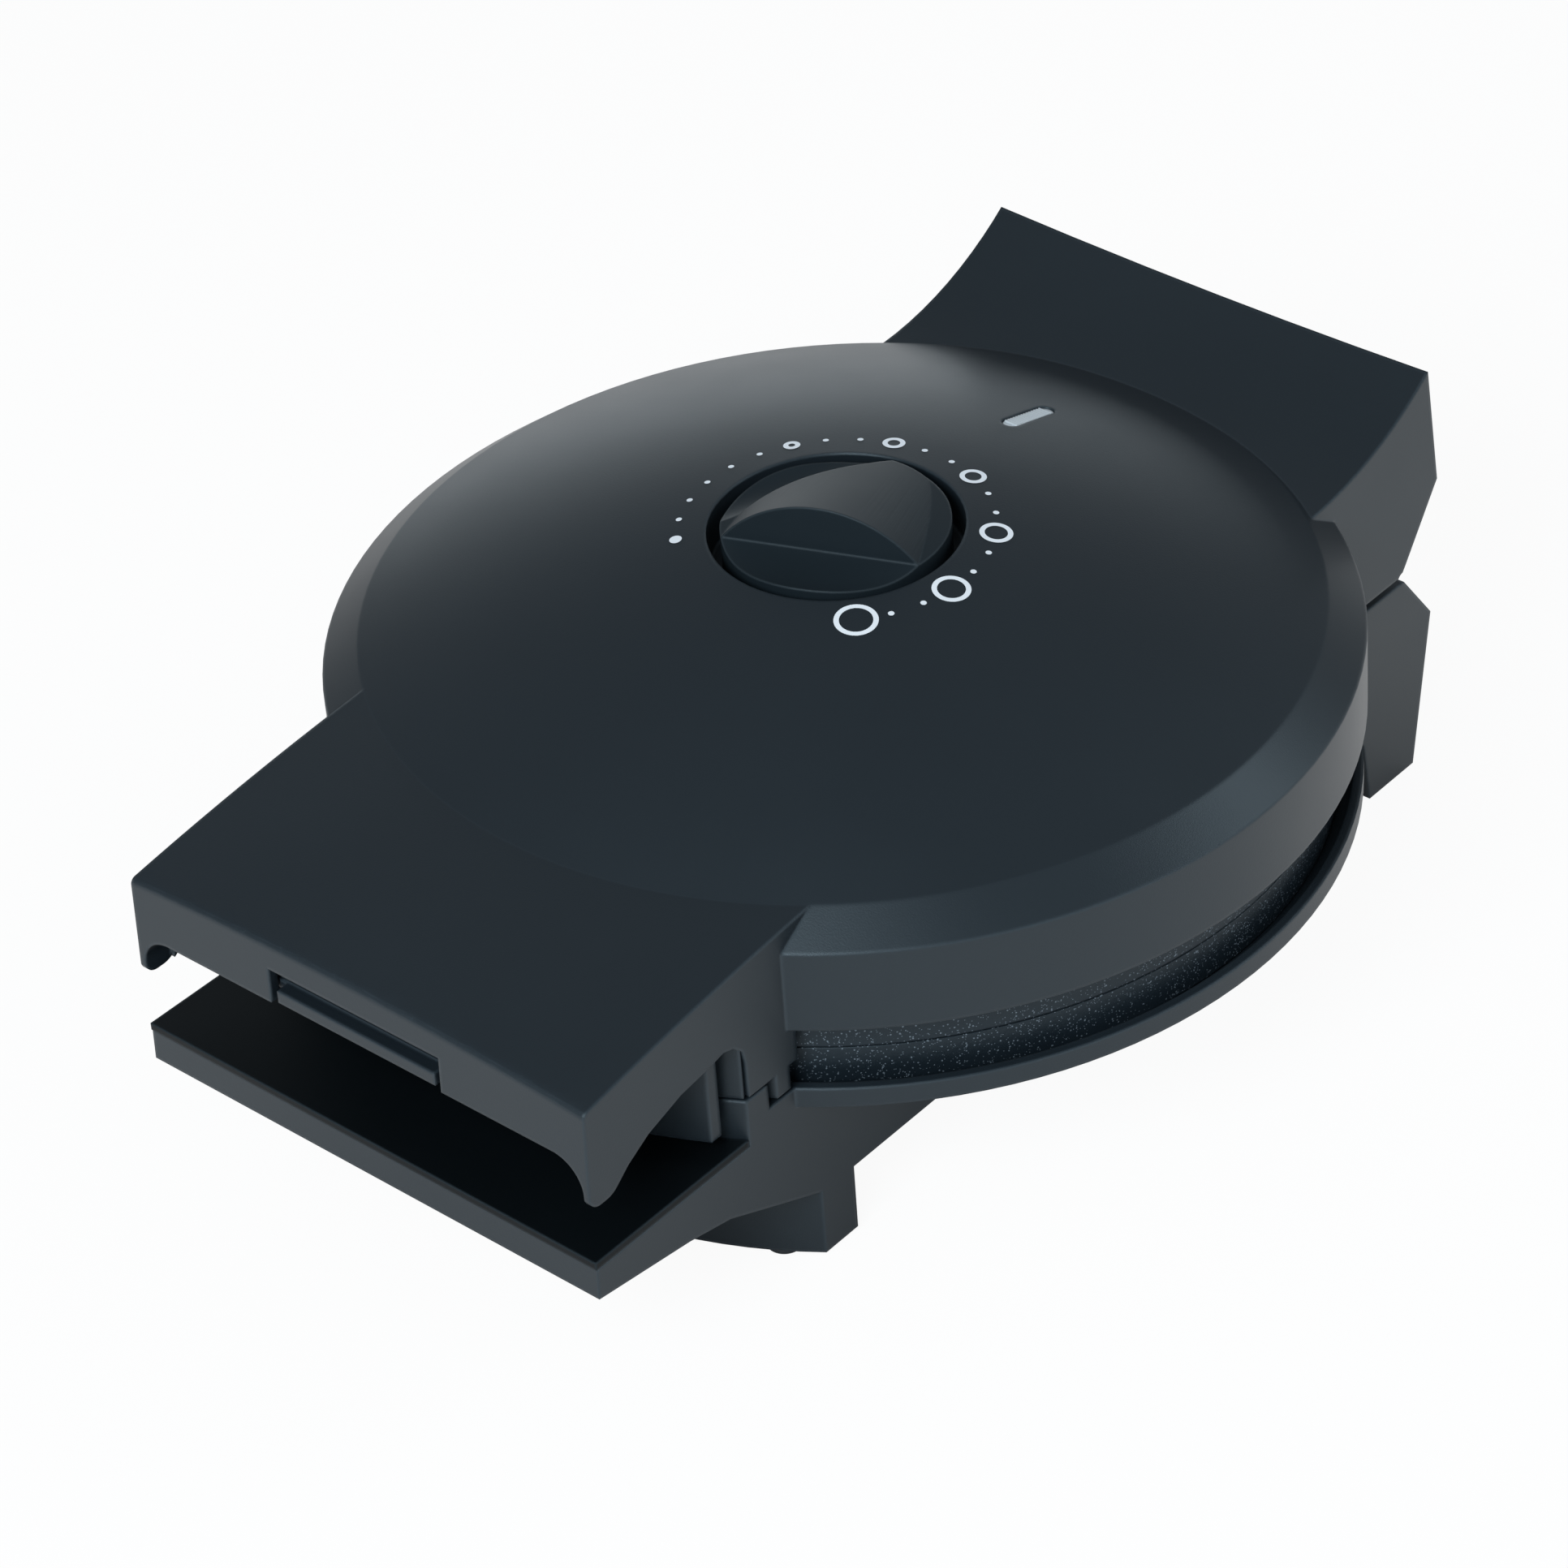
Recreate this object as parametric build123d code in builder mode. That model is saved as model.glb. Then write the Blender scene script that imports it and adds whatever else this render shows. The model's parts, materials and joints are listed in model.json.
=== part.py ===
"""Electric krumkake iron: a round two-plate iron with a domed lid, a dial on top, two long flat
handles at the front and a hinged tail at the back.

The frame has +Z up, +X to the right and the handles towards -Y. The origin is under the middle of
the bounding box, on the surface that the iron stands on. Sizes are in millimetres.
"""

import math
import os

from build123d import *

os.makedirs("parts", exist_ok=True)

# Round body
LID_R = 128.0
CREASE_R = LID_R - 9.3
CREASE_Z = 104.2
BEVEL_BOTTOM_Z = 97.0
SKIRT_BOTTOM_Z = 74.7
DOME_TOP_Z = 129.6
PARTING_Z = 64.0
PARTING_GAP = 0.8
WALL = 2.6
SOFT_EDGE = 1.8

# Plan of the long body that carries the handles and the tail
HANDLE_REACH = LID_R + 47.0
TAIL_REACH = LID_R + 24.0
HINGE_Y = TAIL_REACH - 15.0
FRONT_HALF_WIDTH = 72.2
REAR_HALF_WIDTH = FRONT_HALF_WIDTH - 3.2
AXIS_Y = (HANDLE_REACH - TAIL_REACH) / 2

# Front handle of the lid
HANDLE_FRONT_Z = 97.7
HANDLE_CORNER_Z = 95.0
FRONT_DRAFT = 1.4
FRONT_WALL_BOTTOM_Z = 80.0
LOBE_BOTTOM_Z = 67.6
LOBE_W = 9.7
LOBE_DEPTH = 8.0
ARCH_TOP_Z = 82.0
TAB_T = 4.0
TAB_R = LID_R + TAB_T
BLOCK_R = TAB_R + 2.6
HANDLE_WALL_R = BLOCK_R + 6.4
HANDLE_WALL_T = 3.0
TAB_BOTTOM_Z = 57.6
SLOT_HALF_W = 27.2
SLOT_TOP_Z = 89.8

# Liner under the front handle
LINER_Z = 84.2
LINER_T = 2.4
LINER_FIT = 0.3
SHIELD_R = HANDLE_WALL_R + 7.0
SHIELD_T = 3.0
SHIELD_BOTTOM_Z = 56.5
LIP_HALF_W = 25.2
LIP_BOTTOM_Z = 80.7
LIP_REACH = HANDLE_REACH - 0.8
BAR_R = 2.4
BAR_Z = 86.4
BAR_REACH = HANDLE_REACH - 6.4
LINER_SCREW_X = 54.0
LINER_SCREW_FRONT = HANDLE_REACH - 13.0
LINER_SCREW_BACK = HANDLE_REACH - 22.0

# Lower handle
COVER_TOP_Z = 52.3
COVER_T = 2.0
LOWER_FRONT_Z = 41.6
FLOOR_Z = 56.5
UNDER_FLAT_Z = 37.1
POCKET_FLOOR_T = 3.0

# Bowl of the base
RIM_R = LID_R - 1.0
RIM_T = 2.5
RIM_BAND_Z = 51.0
BOWL_R = RIM_R - 43.0
BOWL_SHOULDER_R = RIM_R - 15.0
BOWL_SHOULDER_Z = 46.0
BOWL_FLOOR_Z = 22.2
BASE_Z = 20.0
WELL_CAVITY_R = RIM_R - 30.0

# Feet
FOOT_R = RIM_R - 5.5
FOOT_T = 9.4
FOOT_END_Z = 1.2
FOOT_COVER_T = 2.4
FOOT_COVER_FIT = 0.2
PAD_R = 4.6
PAD_X = 60.0
REAR_PAD_X = 56.0
REAR_FOOT_Y = TAIL_REACH - 29.5
REAR_FOOT_BACK_Y = TAIL_REACH - 10.2

# Tail
LOWER_TAIL_Y = TAIL_REACH - 2.6
LOWER_TAIL_Z = 45.5
LOWER_DECK_Z = 61.5
UPPER_TAIL_Z = 63.7
TAIL_BULGE_Z = 85.5
TAIL_TIP_Z = 121.5
TAIL_TIP_Y = TAIL_REACH - 4.4
SWOOP_R = 91.5
SWOOP_SIDE_R = 89.0
SWOOP_Y = HINGE_Y - 42.0

# Hinge
HINGE_Z = 62.6
KNUCKLE_R = 5.0
KNUCKLE_CLEAR = 0.6
PIN_R = 2.0
PIN_CLEAR = 0.05
KNUCKLE_X = 36.0
KNUCKLE_W = 14.0
EAR_W = 8.0
SIDE_CLEAR = 0.3
HINGE_SPAN = 132.0

# Baking plates
PLATE_R = RIM_R - 6.0
PLATE_T = 11.0
PLATE_GAP = 0.3
BAKING_R = PLATE_R - 17.0
BAKING_DEPTH = 0.7
GROOVE_W = 1.6
GROOVE_DEPTH = 0.5
PLATE_FLOOR_T = 5.0
PLATE_RIM_W = 6.0
LEAF_COUNT = 24
LEAF_OUT_R = BAKING_R - 3.0
LEAF_IN_R = LEAF_OUT_R - 14.0
LEAF_HALF_W = 5.0
BEAD_COUNT = 24
BEAD_RING_R = LEAF_IN_R - 13.0
BEAD_R = 5.2
PETAL_COUNT = 12
PETAL_OUT_R = BEAD_RING_R - 13.0
PETAL_IN_R = 21.0
PETAL_HALF_W = 5.6
RING_RADII = (PETAL_IN_R - 3.0, BEAD_RING_R - 10.0, BEAD_RING_R + 10.0)

# Heating
HEATER_R = PLATE_R - 41.0
HEATER_TUBE_R = 3.2
HEATER_GAP_DEG = 24.0
REFLECTOR_T = 0.8
REFLECTOR_R = PLATE_R - 13.0
REFLECTOR_RISE = 12.0
REFLECTOR_SLOPE_R = REFLECTOR_R - 16.0

# Screws and their bosses
SCREW_R = 1.5
SCREW_HEAD_R = 3.0
SCREW_HEAD_H = 1.8
BOSS_R = 4.0
BOSS_BORE_R = 1.5
HEAD_BORE_R = 3.2
PEG_END_Z = 46.0
LOWER_STUD_R = 60.0
LOWER_STUD_END_Z = 40.0
UPPER_STUD_R = 22.5
UPPER_STUD_END_Z = 92.0
STUD_COUNT = 3

# Dial
WELL_R = 31.6
WELL_WALL_T = 2.2
WELL_FLOOR_Z = 117.0
KNOB_R = 28.2
KNOB_RIM_Z = 129.0
KNOB_TOP_Z = 141.5
KNOB_CLEAR = 1.5
KNOB_HUB_R = 6.5
KNOB_SKIRT_T = 2.4
POINTER_DEG = -138.5
GRIP_HALF_DEG = 43.2
SCOOP_DROP = 1.2
SHAFT_R = 3.0
SHAFT_CLEAR = 0.1
SHAFT_TOP_Z = 133.0
THERMOSTAT_SIZE = 22.0
THERMOSTAT_H = 14.0

# Indicator window
LAMP_Y = 73.6
LAMP_L = 18.0
LAMP_W = 5.0
LAMP_FIT = 0.3
LENS_SINK = 0.7
LENS_H = 7.0
LAMP_R = 2.2
LAMP_BODY_H = 9.0

# Cord bushing and terminals
BUSH_BORE_R = 3.8
BUSH_R = 6.5
BUSH_FLANGE_R = 8.5
BUSH_FLANGE_T = 1.6
BUSH_L = 14.0
BUSH_Z = 27.0
TERMINAL_SIZE = (30.0, 11.0, 12.0)
TERMINAL_Y = HINGE_Y - 5.0
TERMINAL_WELL_R = 2.0

SIDE = Plane(origin=(0, AXIS_Y, 0), x_dir=(0, 1, 0), z_dir=(1, 0, 0))
SECTION = Plane(origin=(0, AXIS_Y, 0), x_dir=(1, 0, 0), z_dir=(0, -1, 0))
DISC_AXIS = Axis((0, AXIS_Y, 0), (0, 0, 1))
HALF_SPAN = 100.0
UPPER_EDGE_Z = PARTING_Z + PARTING_GAP / 2
LOWER_EDGE_Z = PARTING_Z - PARTING_GAP / 2


def plan(z):
    """Horizontal sketch plane at height z, centred on the round body."""
    return Plane(origin=(0, AXIS_Y, z))


def save(piece, name):
    """Labels a finished piece and writes it as parts/NAME.step."""
    piece.label = name
    export_step(piece, f"parts/{name}.step")


# Dome: one arc through the crease, the middle of the slope and the top
DOME_SPHERE_R = (CREASE_R**2 + (DOME_TOP_Z - CREASE_Z) ** 2) / (2 * (DOME_TOP_Z - CREASE_Z))


def dome_z(r, drop=0.0):
    """Height of the dome at radius r, on a sphere lowered all round by drop."""
    sphere_r = DOME_SPHERE_R - drop
    return DOME_TOP_Z - DOME_SPHERE_R + math.sqrt(sphere_r**2 - r**2)


def slab(low, high, x_size, y_mid, y_size, x_mid=0.0):
    """Upright block between two heights."""
    with BuildPart() as form:
        with BuildSketch(plan(low)):
            with Locations((x_mid, y_mid)):
                Rectangle(x_size, y_size)
        extrude(amount=high - low)
    return form.part


def drum(radius, low, high, spots=((0.0, 0.0),)):
    """Upright cylinders between two heights."""
    with BuildPart() as form:
        with BuildSketch(plan(low)):
            with Locations(*spots):
                Circle(radius)
        extrude(amount=high - low)
    return form.part


def side_form(points, x_mid=0.0, width=2 * HALF_SPAN):
    """Side outline carried across the width of the iron."""
    with BuildPart() as form:
        with BuildSketch(SIDE.offset(x_mid)):
            with BuildLine():
                Polyline(*points, close=True)
            make_face()
        extrude(amount=width / 2, both=True)
    return form.part


def rod(radius, y, z, x_mid=0.0, width=2 * HALF_SPAN):
    """Cylinder across the iron."""
    with BuildPart() as form:
        with BuildSketch(SIDE.offset(x_mid)):
            with Locations((y, z)):
                Circle(radius)
        extrude(amount=width / 2, both=True)
    return form.part


def turned(points, arc_middle=None):
    """Solid turned about the disc axis; the last two points may be joined by an arc."""
    with BuildPart() as form:
        with BuildSketch(SECTION):
            with BuildLine():
                if arc_middle is None:
                    Polyline(*points, close=True)
                else:
                    Polyline(*points)
                    ThreePointArc(points[-1], arc_middle, points[0])
            make_face()
        revolve(axis=DISC_AXIS)
    return form.part


def round_form(inset, low):
    """Round body of the lid, inset from the outside by a wall."""
    crease_r = CREASE_R - inset * 0.6
    top = dome_z(0, inset)
    points = [
        (0, top),
        (0, low),
        (LID_R - inset, low),
        (LID_R - inset, BEVEL_BOTTOM_Z - inset * 0.5),
        (crease_r, dome_z(crease_r, inset)),
    ]
    return turned(points, (crease_r / 2, dome_z(crease_r / 2, inset)))


def wedge_form(inset):
    """Solid between the two side walls, which close in slightly towards the tail."""
    with BuildPart() as form:
        with BuildSketch(plan(0)):
            with BuildLine():
                Polyline(
                    (-FRONT_HALF_WIDTH + inset, -HANDLE_REACH),
                    (FRONT_HALF_WIDTH - inset, -HANDLE_REACH),
                    (REAR_HALF_WIDTH - inset, TAIL_REACH),
                    (-REAR_HALF_WIDTH + inset, TAIL_REACH),
                    close=True,
                )
            make_face()
        extrude(amount=KNOB_TOP_Z)
    return form.part


def crown_form(drop):
    """Solid under the handle's shallow crown, which falls away from the crease all round."""
    corner_r = math.hypot(FRONT_HALF_WIDTH, HANDLE_REACH)
    points = [
        (corner_r, HANDLE_CORNER_Z - drop),
        (corner_r, 0),
        (0, 0),
        (0, CREASE_Z - drop),
        (CREASE_R, CREASE_Z - drop),
    ]
    return turned(points, (HANDLE_REACH - SOFT_EDGE, HANDLE_FRONT_Z - drop))


def swoop_form(wall):
    """Barrel that hollows the top of the tail: deeper in the middle than at the side walls."""
    middle_z = CREASE_Z + SWOOP_SIDE_R
    side_r = SWOOP_SIDE_R + wall
    middle_r = SWOOP_R + wall
    barrel = Plane(origin=(0, AXIS_Y + SWOOP_Y, middle_z), x_dir=(1, 0, 0), z_dir=(0, -1, 0))
    with BuildPart() as form:
        with BuildSketch(barrel):
            with BuildLine():
                Polyline(
                    (HALF_SPAN, -side_r),
                    (HALF_SPAN, 0),
                    (-HALF_SPAN, 0),
                    (-HALF_SPAN, -side_r),
                )
                ThreePointArc((-HALF_SPAN, -side_r), (0, -middle_r), (HALF_SPAN, -side_r))
            make_face()
        revolve(axis=Axis((0, AXIS_Y + SWOOP_Y, middle_z), (1, 0, 0)))
    return form.part


def ring_form(outer_r, inner_r, low, high, front=True):
    """Upright round wall on the handle side or on the tail side."""
    middle = -HANDLE_REACH / 2 if front else HANDLE_REACH / 2
    with BuildPart() as form:
        with BuildSketch(plan(low)):
            Circle(outer_r)
            Circle(inner_r, mode=Mode.SUBTRACT)
            with Locations((0, middle)):
                Rectangle(2 * HANDLE_REACH, HANDLE_REACH, mode=Mode.INTERSECT)
        extrude(amount=high - low)
    return form.part


def screw_set(spots, head_z, length, up=True):
    """Pan head screws with a cross slot, standing on head_z and reaching up or down into a boss."""
    sign = 1 if up else -1
    with BuildPart() as form:
        with BuildSketch(plan(head_z)):
            with Locations(*spots):
                Circle(SCREW_HEAD_R)
        extrude(amount=sign * SCREW_HEAD_H)
        with BuildSketch(plan(head_z)):
            with Locations(*spots):
                Circle(SCREW_R)
        extrude(amount=sign * (SCREW_HEAD_H + length))
        with BuildSketch(plan(head_z)):
            with Locations(*spots):
                Rectangle(SCREW_HEAD_R * 1.2, SCREW_HEAD_R * 0.25)
                Rectangle(SCREW_HEAD_R * 0.25, SCREW_HEAD_R * 1.2)
        extrude(amount=sign * SCREW_HEAD_H / 2, mode=Mode.SUBTRACT)
    return form.part


def around(radius, count, start_deg=90.0):
    """Points evenly spaced on a circle."""
    step = 360 / count
    angles = [math.radians(start_deg + step * i) for i in range(count)]
    return [(radius * math.cos(a), radius * math.sin(a)) for a in angles]


# Shared forms of the lid
body_wedge = wedge_form(0)
inner_wedge = wedge_form(WALL)
swoop = swoop_form(0)
inner_swoop = swoop_form(WALL)
crown = crown_form(0)
inner_crown = crown_form(WALL)
round_body = round_form(0, SKIRT_BOTTOM_Z)
round_cavity = round_form(WALL, LOWER_EDGE_Z - PLATE_T)

handle_profile = side_form([
    (-HANDLE_REACH, LOBE_BOTTOM_Z),
    (-HANDLE_REACH + 7.6, LOBE_BOTTOM_Z),
    (-HANDLE_REACH + 13.5, 72.4),
    (-HANDLE_REACH + 20.9, 76.5),
    (-HANDLE_REACH + 32.3, ARCH_TOP_Z - 2),
    (-HANDLE_REACH + 43.6, ARCH_TOP_Z - 0.5),
    (-HANDLE_REACH + 47.3, ARCH_TOP_Z + 0.4),
    (-HANDLE_REACH + 50.6, ARCH_TOP_Z - 0.6),
    (-HANDLE_REACH + 53.6, ARCH_TOP_Z - 3.5),
    (-HANDLE_REACH + 54.4, SKIRT_BOTTOM_Z),
    (-HANDLE_REACH + 54.6, UPPER_EDGE_Z),
    (-SWOOP_Y, UPPER_EDGE_Z),
    (-SWOOP_Y, CREASE_Z + WALL),
    (-HANDLE_REACH + FRONT_DRAFT, CREASE_Z + WALL),
])

with BuildPart() as handle_block:
    add(handle_profile)
    add(body_wedge, mode=Mode.INTERSECT)
    add(crown, mode=Mode.INTERSECT)
    front_edges = handle_block.edges().filter_by(
        lambda e: e.center().Y < AXIS_Y - LIP_REACH + 4 and e.center().Z > SLOT_TOP_Z
    )
    fillet(front_edges, SOFT_EDGE)

with BuildPart() as handle_cavity:
    add(side_form([
        (-HANDLE_REACH + WALL, PARTING_Z - PLATE_T),
        (-SWOOP_Y, PARTING_Z - PLATE_T),
        (-SWOOP_Y, CREASE_Z + WALL),
        (-HANDLE_REACH + FRONT_DRAFT + WALL, CREASE_Z + WALL),
    ]))
    add(inner_wedge, mode=Mode.INTERSECT)
    add(inner_crown, mode=Mode.INTERSECT)

tail_root = SWOOP_Y - 35.0
tail_heel = (HINGE_Y + 1.5, UPPER_TAIL_Z + 2.9)
tail_profile = side_form([
    (tail_root, UPPER_TAIL_Z),
    (HINGE_Y - 0.7, UPPER_TAIL_Z),
    tail_heel,
    (TAIL_REACH, TAIL_BULGE_Z),
    (TAIL_TIP_Y, TAIL_TIP_Z),
    (SWOOP_Y, TAIL_TIP_Z),
    (SWOOP_Y, CREASE_Z),
    (tail_root, CREASE_Z),
])

with BuildPart() as tail_block:
    add(tail_profile)
    add(body_wedge, mode=Mode.INTERSECT)
    add(swoop, mode=Mode.SUBTRACT)

with BuildPart() as tail_cavity:
    add(side_form([
        (SWOOP_Y - 15.0, UPPER_TAIL_Z - WALL),
        (HINGE_Y - 4.0, UPPER_TAIL_Z - WALL),
        (HINGE_Y - 1.0, UPPER_TAIL_Z + 4.2),
        (TAIL_REACH - WALL, TAIL_BULGE_Z + 0.6),
        (TAIL_TIP_Y - WALL, TAIL_TIP_Z),
        (SWOOP_Y - 15.0, TAIL_TIP_Z),
    ]))
    add(inner_wedge, mode=Mode.INTERSECT)
    add(inner_swoop, mode=Mode.SUBTRACT)

arc_walls = ring_form(HANDLE_WALL_R, HANDLE_WALL_R - HANDLE_WALL_T, UPPER_EDGE_Z, CREASE_Z)
tab_wall = ring_form(TAB_R, TAB_R - TAB_T, TAB_BOTTOM_Z, CREASE_Z)
lobe_x = FRONT_HALF_WIDTH - LOBE_W / 2
lobe_y = -HANDLE_REACH + LOBE_DEPTH / 2
lobes = [slab(LOBE_BOTTOM_Z, LINER_Z - LINER_T, LOBE_W, lobe_y, LOBE_DEPTH, s * lobe_x) for s in (-1, 1)]
liner_screw_spots = [
    (-LINER_SCREW_X, -LINER_SCREW_FRONT),
    (LINER_SCREW_X, -LINER_SCREW_FRONT),
    (-LINER_SCREW_X / 3, -LINER_SCREW_BACK),
    (LINER_SCREW_X / 3, -LINER_SCREW_BACK),
]
upper_stud_spots = around(UPPER_STUD_R, STUD_COUNT)
lower_stud_spots = around(LOWER_STUD_R, STUD_COUNT)

with BuildPart() as handle_ribs:
    add(arc_walls)
    add(tab_wall)
    add(lobes)
    add(handle_block.part, mode=Mode.INTERSECT)
    add(slab(TAB_BOTTOM_Z, PARTING_Z + WALL, 2 * FRONT_HALF_WIDTH, -TAB_R / 2, TAB_R), mode=Mode.SUBTRACT)

with BuildPart() as hanging_tab:
    add(ring_form(TAB_R, TAB_R - TAB_T, TAB_BOTTOM_Z, PARTING_Z + 2 * WALL))
    add(body_wedge, mode=Mode.INTERSECT)

# Lid housing: dome, skirt, front handle and tail in one moulding
knuckle_web = [
    (HINGE_Y - KNUCKLE_R, HINGE_Z),
    (HINGE_Y, HINGE_Z + 0.6),
    tail_heel,
    (TAIL_REACH - 0.6, TAIL_BULGE_Z - 0.4),
    (TAIL_REACH - WALL / 2, TAIL_BULGE_Z + WALL),
    (HINGE_Y - KNUCKLE_R, TAIL_BULGE_Z + WALL),
]
hinge_room = rod(KNUCKLE_R + KNUCKLE_CLEAR, HINGE_Y, HINGE_Z, 0, HINGE_SPAN)
lid_knuckles = [rod(KNUCKLE_R, HINGE_Y, HINGE_Z, s * KNUCKLE_X, KNUCKLE_W) for s in (-1, 1)]
lid_webs = [side_form(knuckle_web, s * KNUCKLE_X, KNUCKLE_W) for s in (-1, 1)]
lid_pin_bore = rod(PIN_R + PIN_CLEAR, HINGE_Y, HINGE_Z)
front_gap = slab(
    LOBE_BOTTOM_Z - WALL,
    FRONT_WALL_BOTTOM_Z,
    2 * (FRONT_HALF_WIDTH - LOBE_W),
    -HANDLE_REACH + LOBE_DEPTH / 2,
    2 * LOBE_DEPTH,
)
front_slot = slab(FRONT_WALL_BOTTOM_Z - WALL, SLOT_TOP_Z, 2 * SLOT_HALF_W, -HANDLE_REACH, 4 * WALL)
liner_bosses = drum(BOSS_R, LINER_Z, CREASE_Z - WALL / 2 - 3, liner_screw_spots)
stud_bosses = drum(BOSS_R, UPPER_STUD_END_Z, WELL_FLOOR_Z - WALL / 2, upper_stud_spots)
well_wall = drum(WELL_R + WELL_WALL_T, WELL_FLOOR_Z - WALL, dome_z(WELL_R + WELL_WALL_T) - WALL / 2)

with BuildPart() as liner_boss_form:
    add(liner_bosses)
    add(crown, mode=Mode.INTERSECT)

with BuildPart() as upper_housing:
    add(round_body)
    add(handle_block.part)
    add(tail_block.part)
    add(round_cavity, mode=Mode.SUBTRACT)
    add(handle_cavity.part, mode=Mode.SUBTRACT)
    add(tail_cavity.part, mode=Mode.SUBTRACT)
    add(handle_ribs.part)
    add(hanging_tab.part)
    add(liner_boss_form.part)
    add(front_gap, mode=Mode.SUBTRACT)
    add(front_slot, mode=Mode.SUBTRACT)
    add(well_wall)
    add(drum(WELL_R, WELL_FLOOR_Z, KNOB_TOP_Z), mode=Mode.SUBTRACT)
    add(stud_bosses)
    add(drum(BOSS_BORE_R, LINER_Z, LINER_Z + 7, liner_screw_spots), mode=Mode.SUBTRACT)
    add(drum(BOSS_BORE_R, UPPER_STUD_END_Z, WELL_FLOOR_Z, upper_stud_spots), mode=Mode.SUBTRACT)
    add(drum(HEAD_BORE_R, UPPER_STUD_END_Z + 5, WELL_FLOOR_Z, upper_stud_spots), mode=Mode.SUBTRACT)
    add(drum(SHAFT_R + SHAFT_CLEAR, WELL_FLOOR_Z - 2 * WALL, WELL_FLOOR_Z), mode=Mode.SUBTRACT)
    with BuildSketch(plan(WELL_FLOOR_Z - 2 * WALL)):
        with Locations((0, LAMP_Y)):
            SlotOverall(LAMP_L, LAMP_W, rotation=90)
    extrude(amount=KNOB_TOP_Z - WELL_FLOOR_Z, mode=Mode.SUBTRACT)
    add(hinge_room, mode=Mode.SUBTRACT)
    add(lid_knuckles)
    add(lid_webs)
    add(lid_pin_bore, mode=Mode.SUBTRACT)
save(upper_housing.part, "upper_housing")

# Liner under the front handle, with the finger bar behind the slot and the hanging shield
liner_front = -HANDLE_REACH + FRONT_DRAFT + WALL + LINER_FIT
bar_x = 2 * (SLOT_HALF_W - LINER_FIT)

with BuildPart() as handle_liner:
    add(slab(LINER_Z - LINER_T, LINER_Z, 2 * FRONT_HALF_WIDTH, liner_front / 2, -liner_front))
    add(wedge_form(WALL + LINER_FIT), mode=Mode.INTERSECT)
    add(drum(HANDLE_WALL_R + LINER_FIT, LINER_Z - 2 * LINER_T, LINER_Z + LINER_T), mode=Mode.SUBTRACT)
    add(ring_form(SHIELD_R, SHIELD_R - SHIELD_T, SHIELD_BOTTOM_Z, LINER_Z))
    add(wedge_form(WALL + LINER_FIT), mode=Mode.INTERSECT)
    add(slab(LIP_BOTTOM_Z, LINER_Z, 2 * LIP_HALF_W, -LIP_REACH + WALL, 2 * WALL))
    add(slab(LINER_Z - LINER_T, BAR_Z, bar_x, -BAR_REACH, BAR_R))
    add(rod(BAR_R, -BAR_REACH, BAR_Z, 0, bar_x))
    add(drum(SCREW_R, LINER_Z - 2 * LINER_T, LINER_Z + WALL, liner_screw_spots), mode=Mode.SUBTRACT)
save(handle_liner.part, "handle_liner")

liner_screws = screw_set(liner_screw_spots, LINER_Z - LINER_T - SCREW_HEAD_H, LINER_T + 6)
save(liner_screws, "liner_screws")


def petals(count, in_r, out_r, half_w, start_deg=90.0):
    """Leaf outlines pointing outwards, cut as a line of the groove's width."""
    middle = (in_r + out_r) / 2
    with BuildSketch(Plane.XY, mode=Mode.PRIVATE) as leaf:
        with BuildLine():
            ThreePointArc((in_r, 0), (middle, half_w), (out_r, 0))
            ThreePointArc((out_r, 0), (middle, -half_w), (in_r, 0))
        make_face()
        with BuildLine():
            ThreePointArc((in_r + 2 * GROOVE_W, 0), (middle, half_w - GROOVE_W), (out_r - 2 * GROOVE_W, 0))
            ThreePointArc((out_r - 2 * GROOVE_W, 0), (middle, GROOVE_W - half_w), (in_r + 2 * GROOVE_W, 0))
        make_face(mode=Mode.SUBTRACT)
    step = 360 / count
    return [leaf.sketch.rotate(Axis.Z, start_deg + step * i) for i in range(count)]


leaf_outlines = petals(PETAL_COUNT, PETAL_IN_R, PETAL_OUT_R, PETAL_HALF_W)
border_outlines = petals(LEAF_COUNT, LEAF_IN_R, LEAF_OUT_R, LEAF_HALF_W)


def baking_plate(face_z, side, stud_spots, stud_end_z):
    """Cast baking plate with the rosette on its face and studs on its back."""
    back_z = face_z + side * PLATE_T
    floor_z = face_z + side * (PLATE_FLOOR_T + BAKING_DEPTH)
    baking_z = face_z + side * BAKING_DEPTH
    with BuildPart() as plate:
        with BuildSketch(plan(face_z)):
            Circle(PLATE_R)
        extrude(amount=side * PLATE_T)
        with BuildSketch(plan(back_z)):
            Circle(PLATE_R - PLATE_RIM_W)
        extrude(amount=floor_z - back_z, mode=Mode.SUBTRACT)
        with BuildSketch(plan(face_z)):
            Circle(BAKING_R)
        extrude(amount=side * BAKING_DEPTH, mode=Mode.SUBTRACT)
        with BuildSketch(plan(baking_z)):
            for radius in RING_RADII:
                Circle(radius)
                Circle(radius - GROOVE_W, mode=Mode.SUBTRACT)
            with PolarLocations(BEAD_RING_R, BEAD_COUNT):
                Circle(BEAD_R)
                Circle(BEAD_R - GROOVE_W, mode=Mode.SUBTRACT)
            add(leaf_outlines)
            add(border_outlines)
        extrude(amount=side * GROOVE_DEPTH, mode=Mode.SUBTRACT)
        with BuildSketch(plan(floor_z)):
            with Locations(*stud_spots):
                Circle(BOSS_R)
        extrude(amount=stud_end_z - floor_z)
        with BuildSketch(plan(stud_end_z)):
            with Locations(*stud_spots):
                Circle(BOSS_BORE_R)
        extrude(amount=(floor_z - stud_end_z) * 0.8, mode=Mode.SUBTRACT)
    return plate.part


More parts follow.
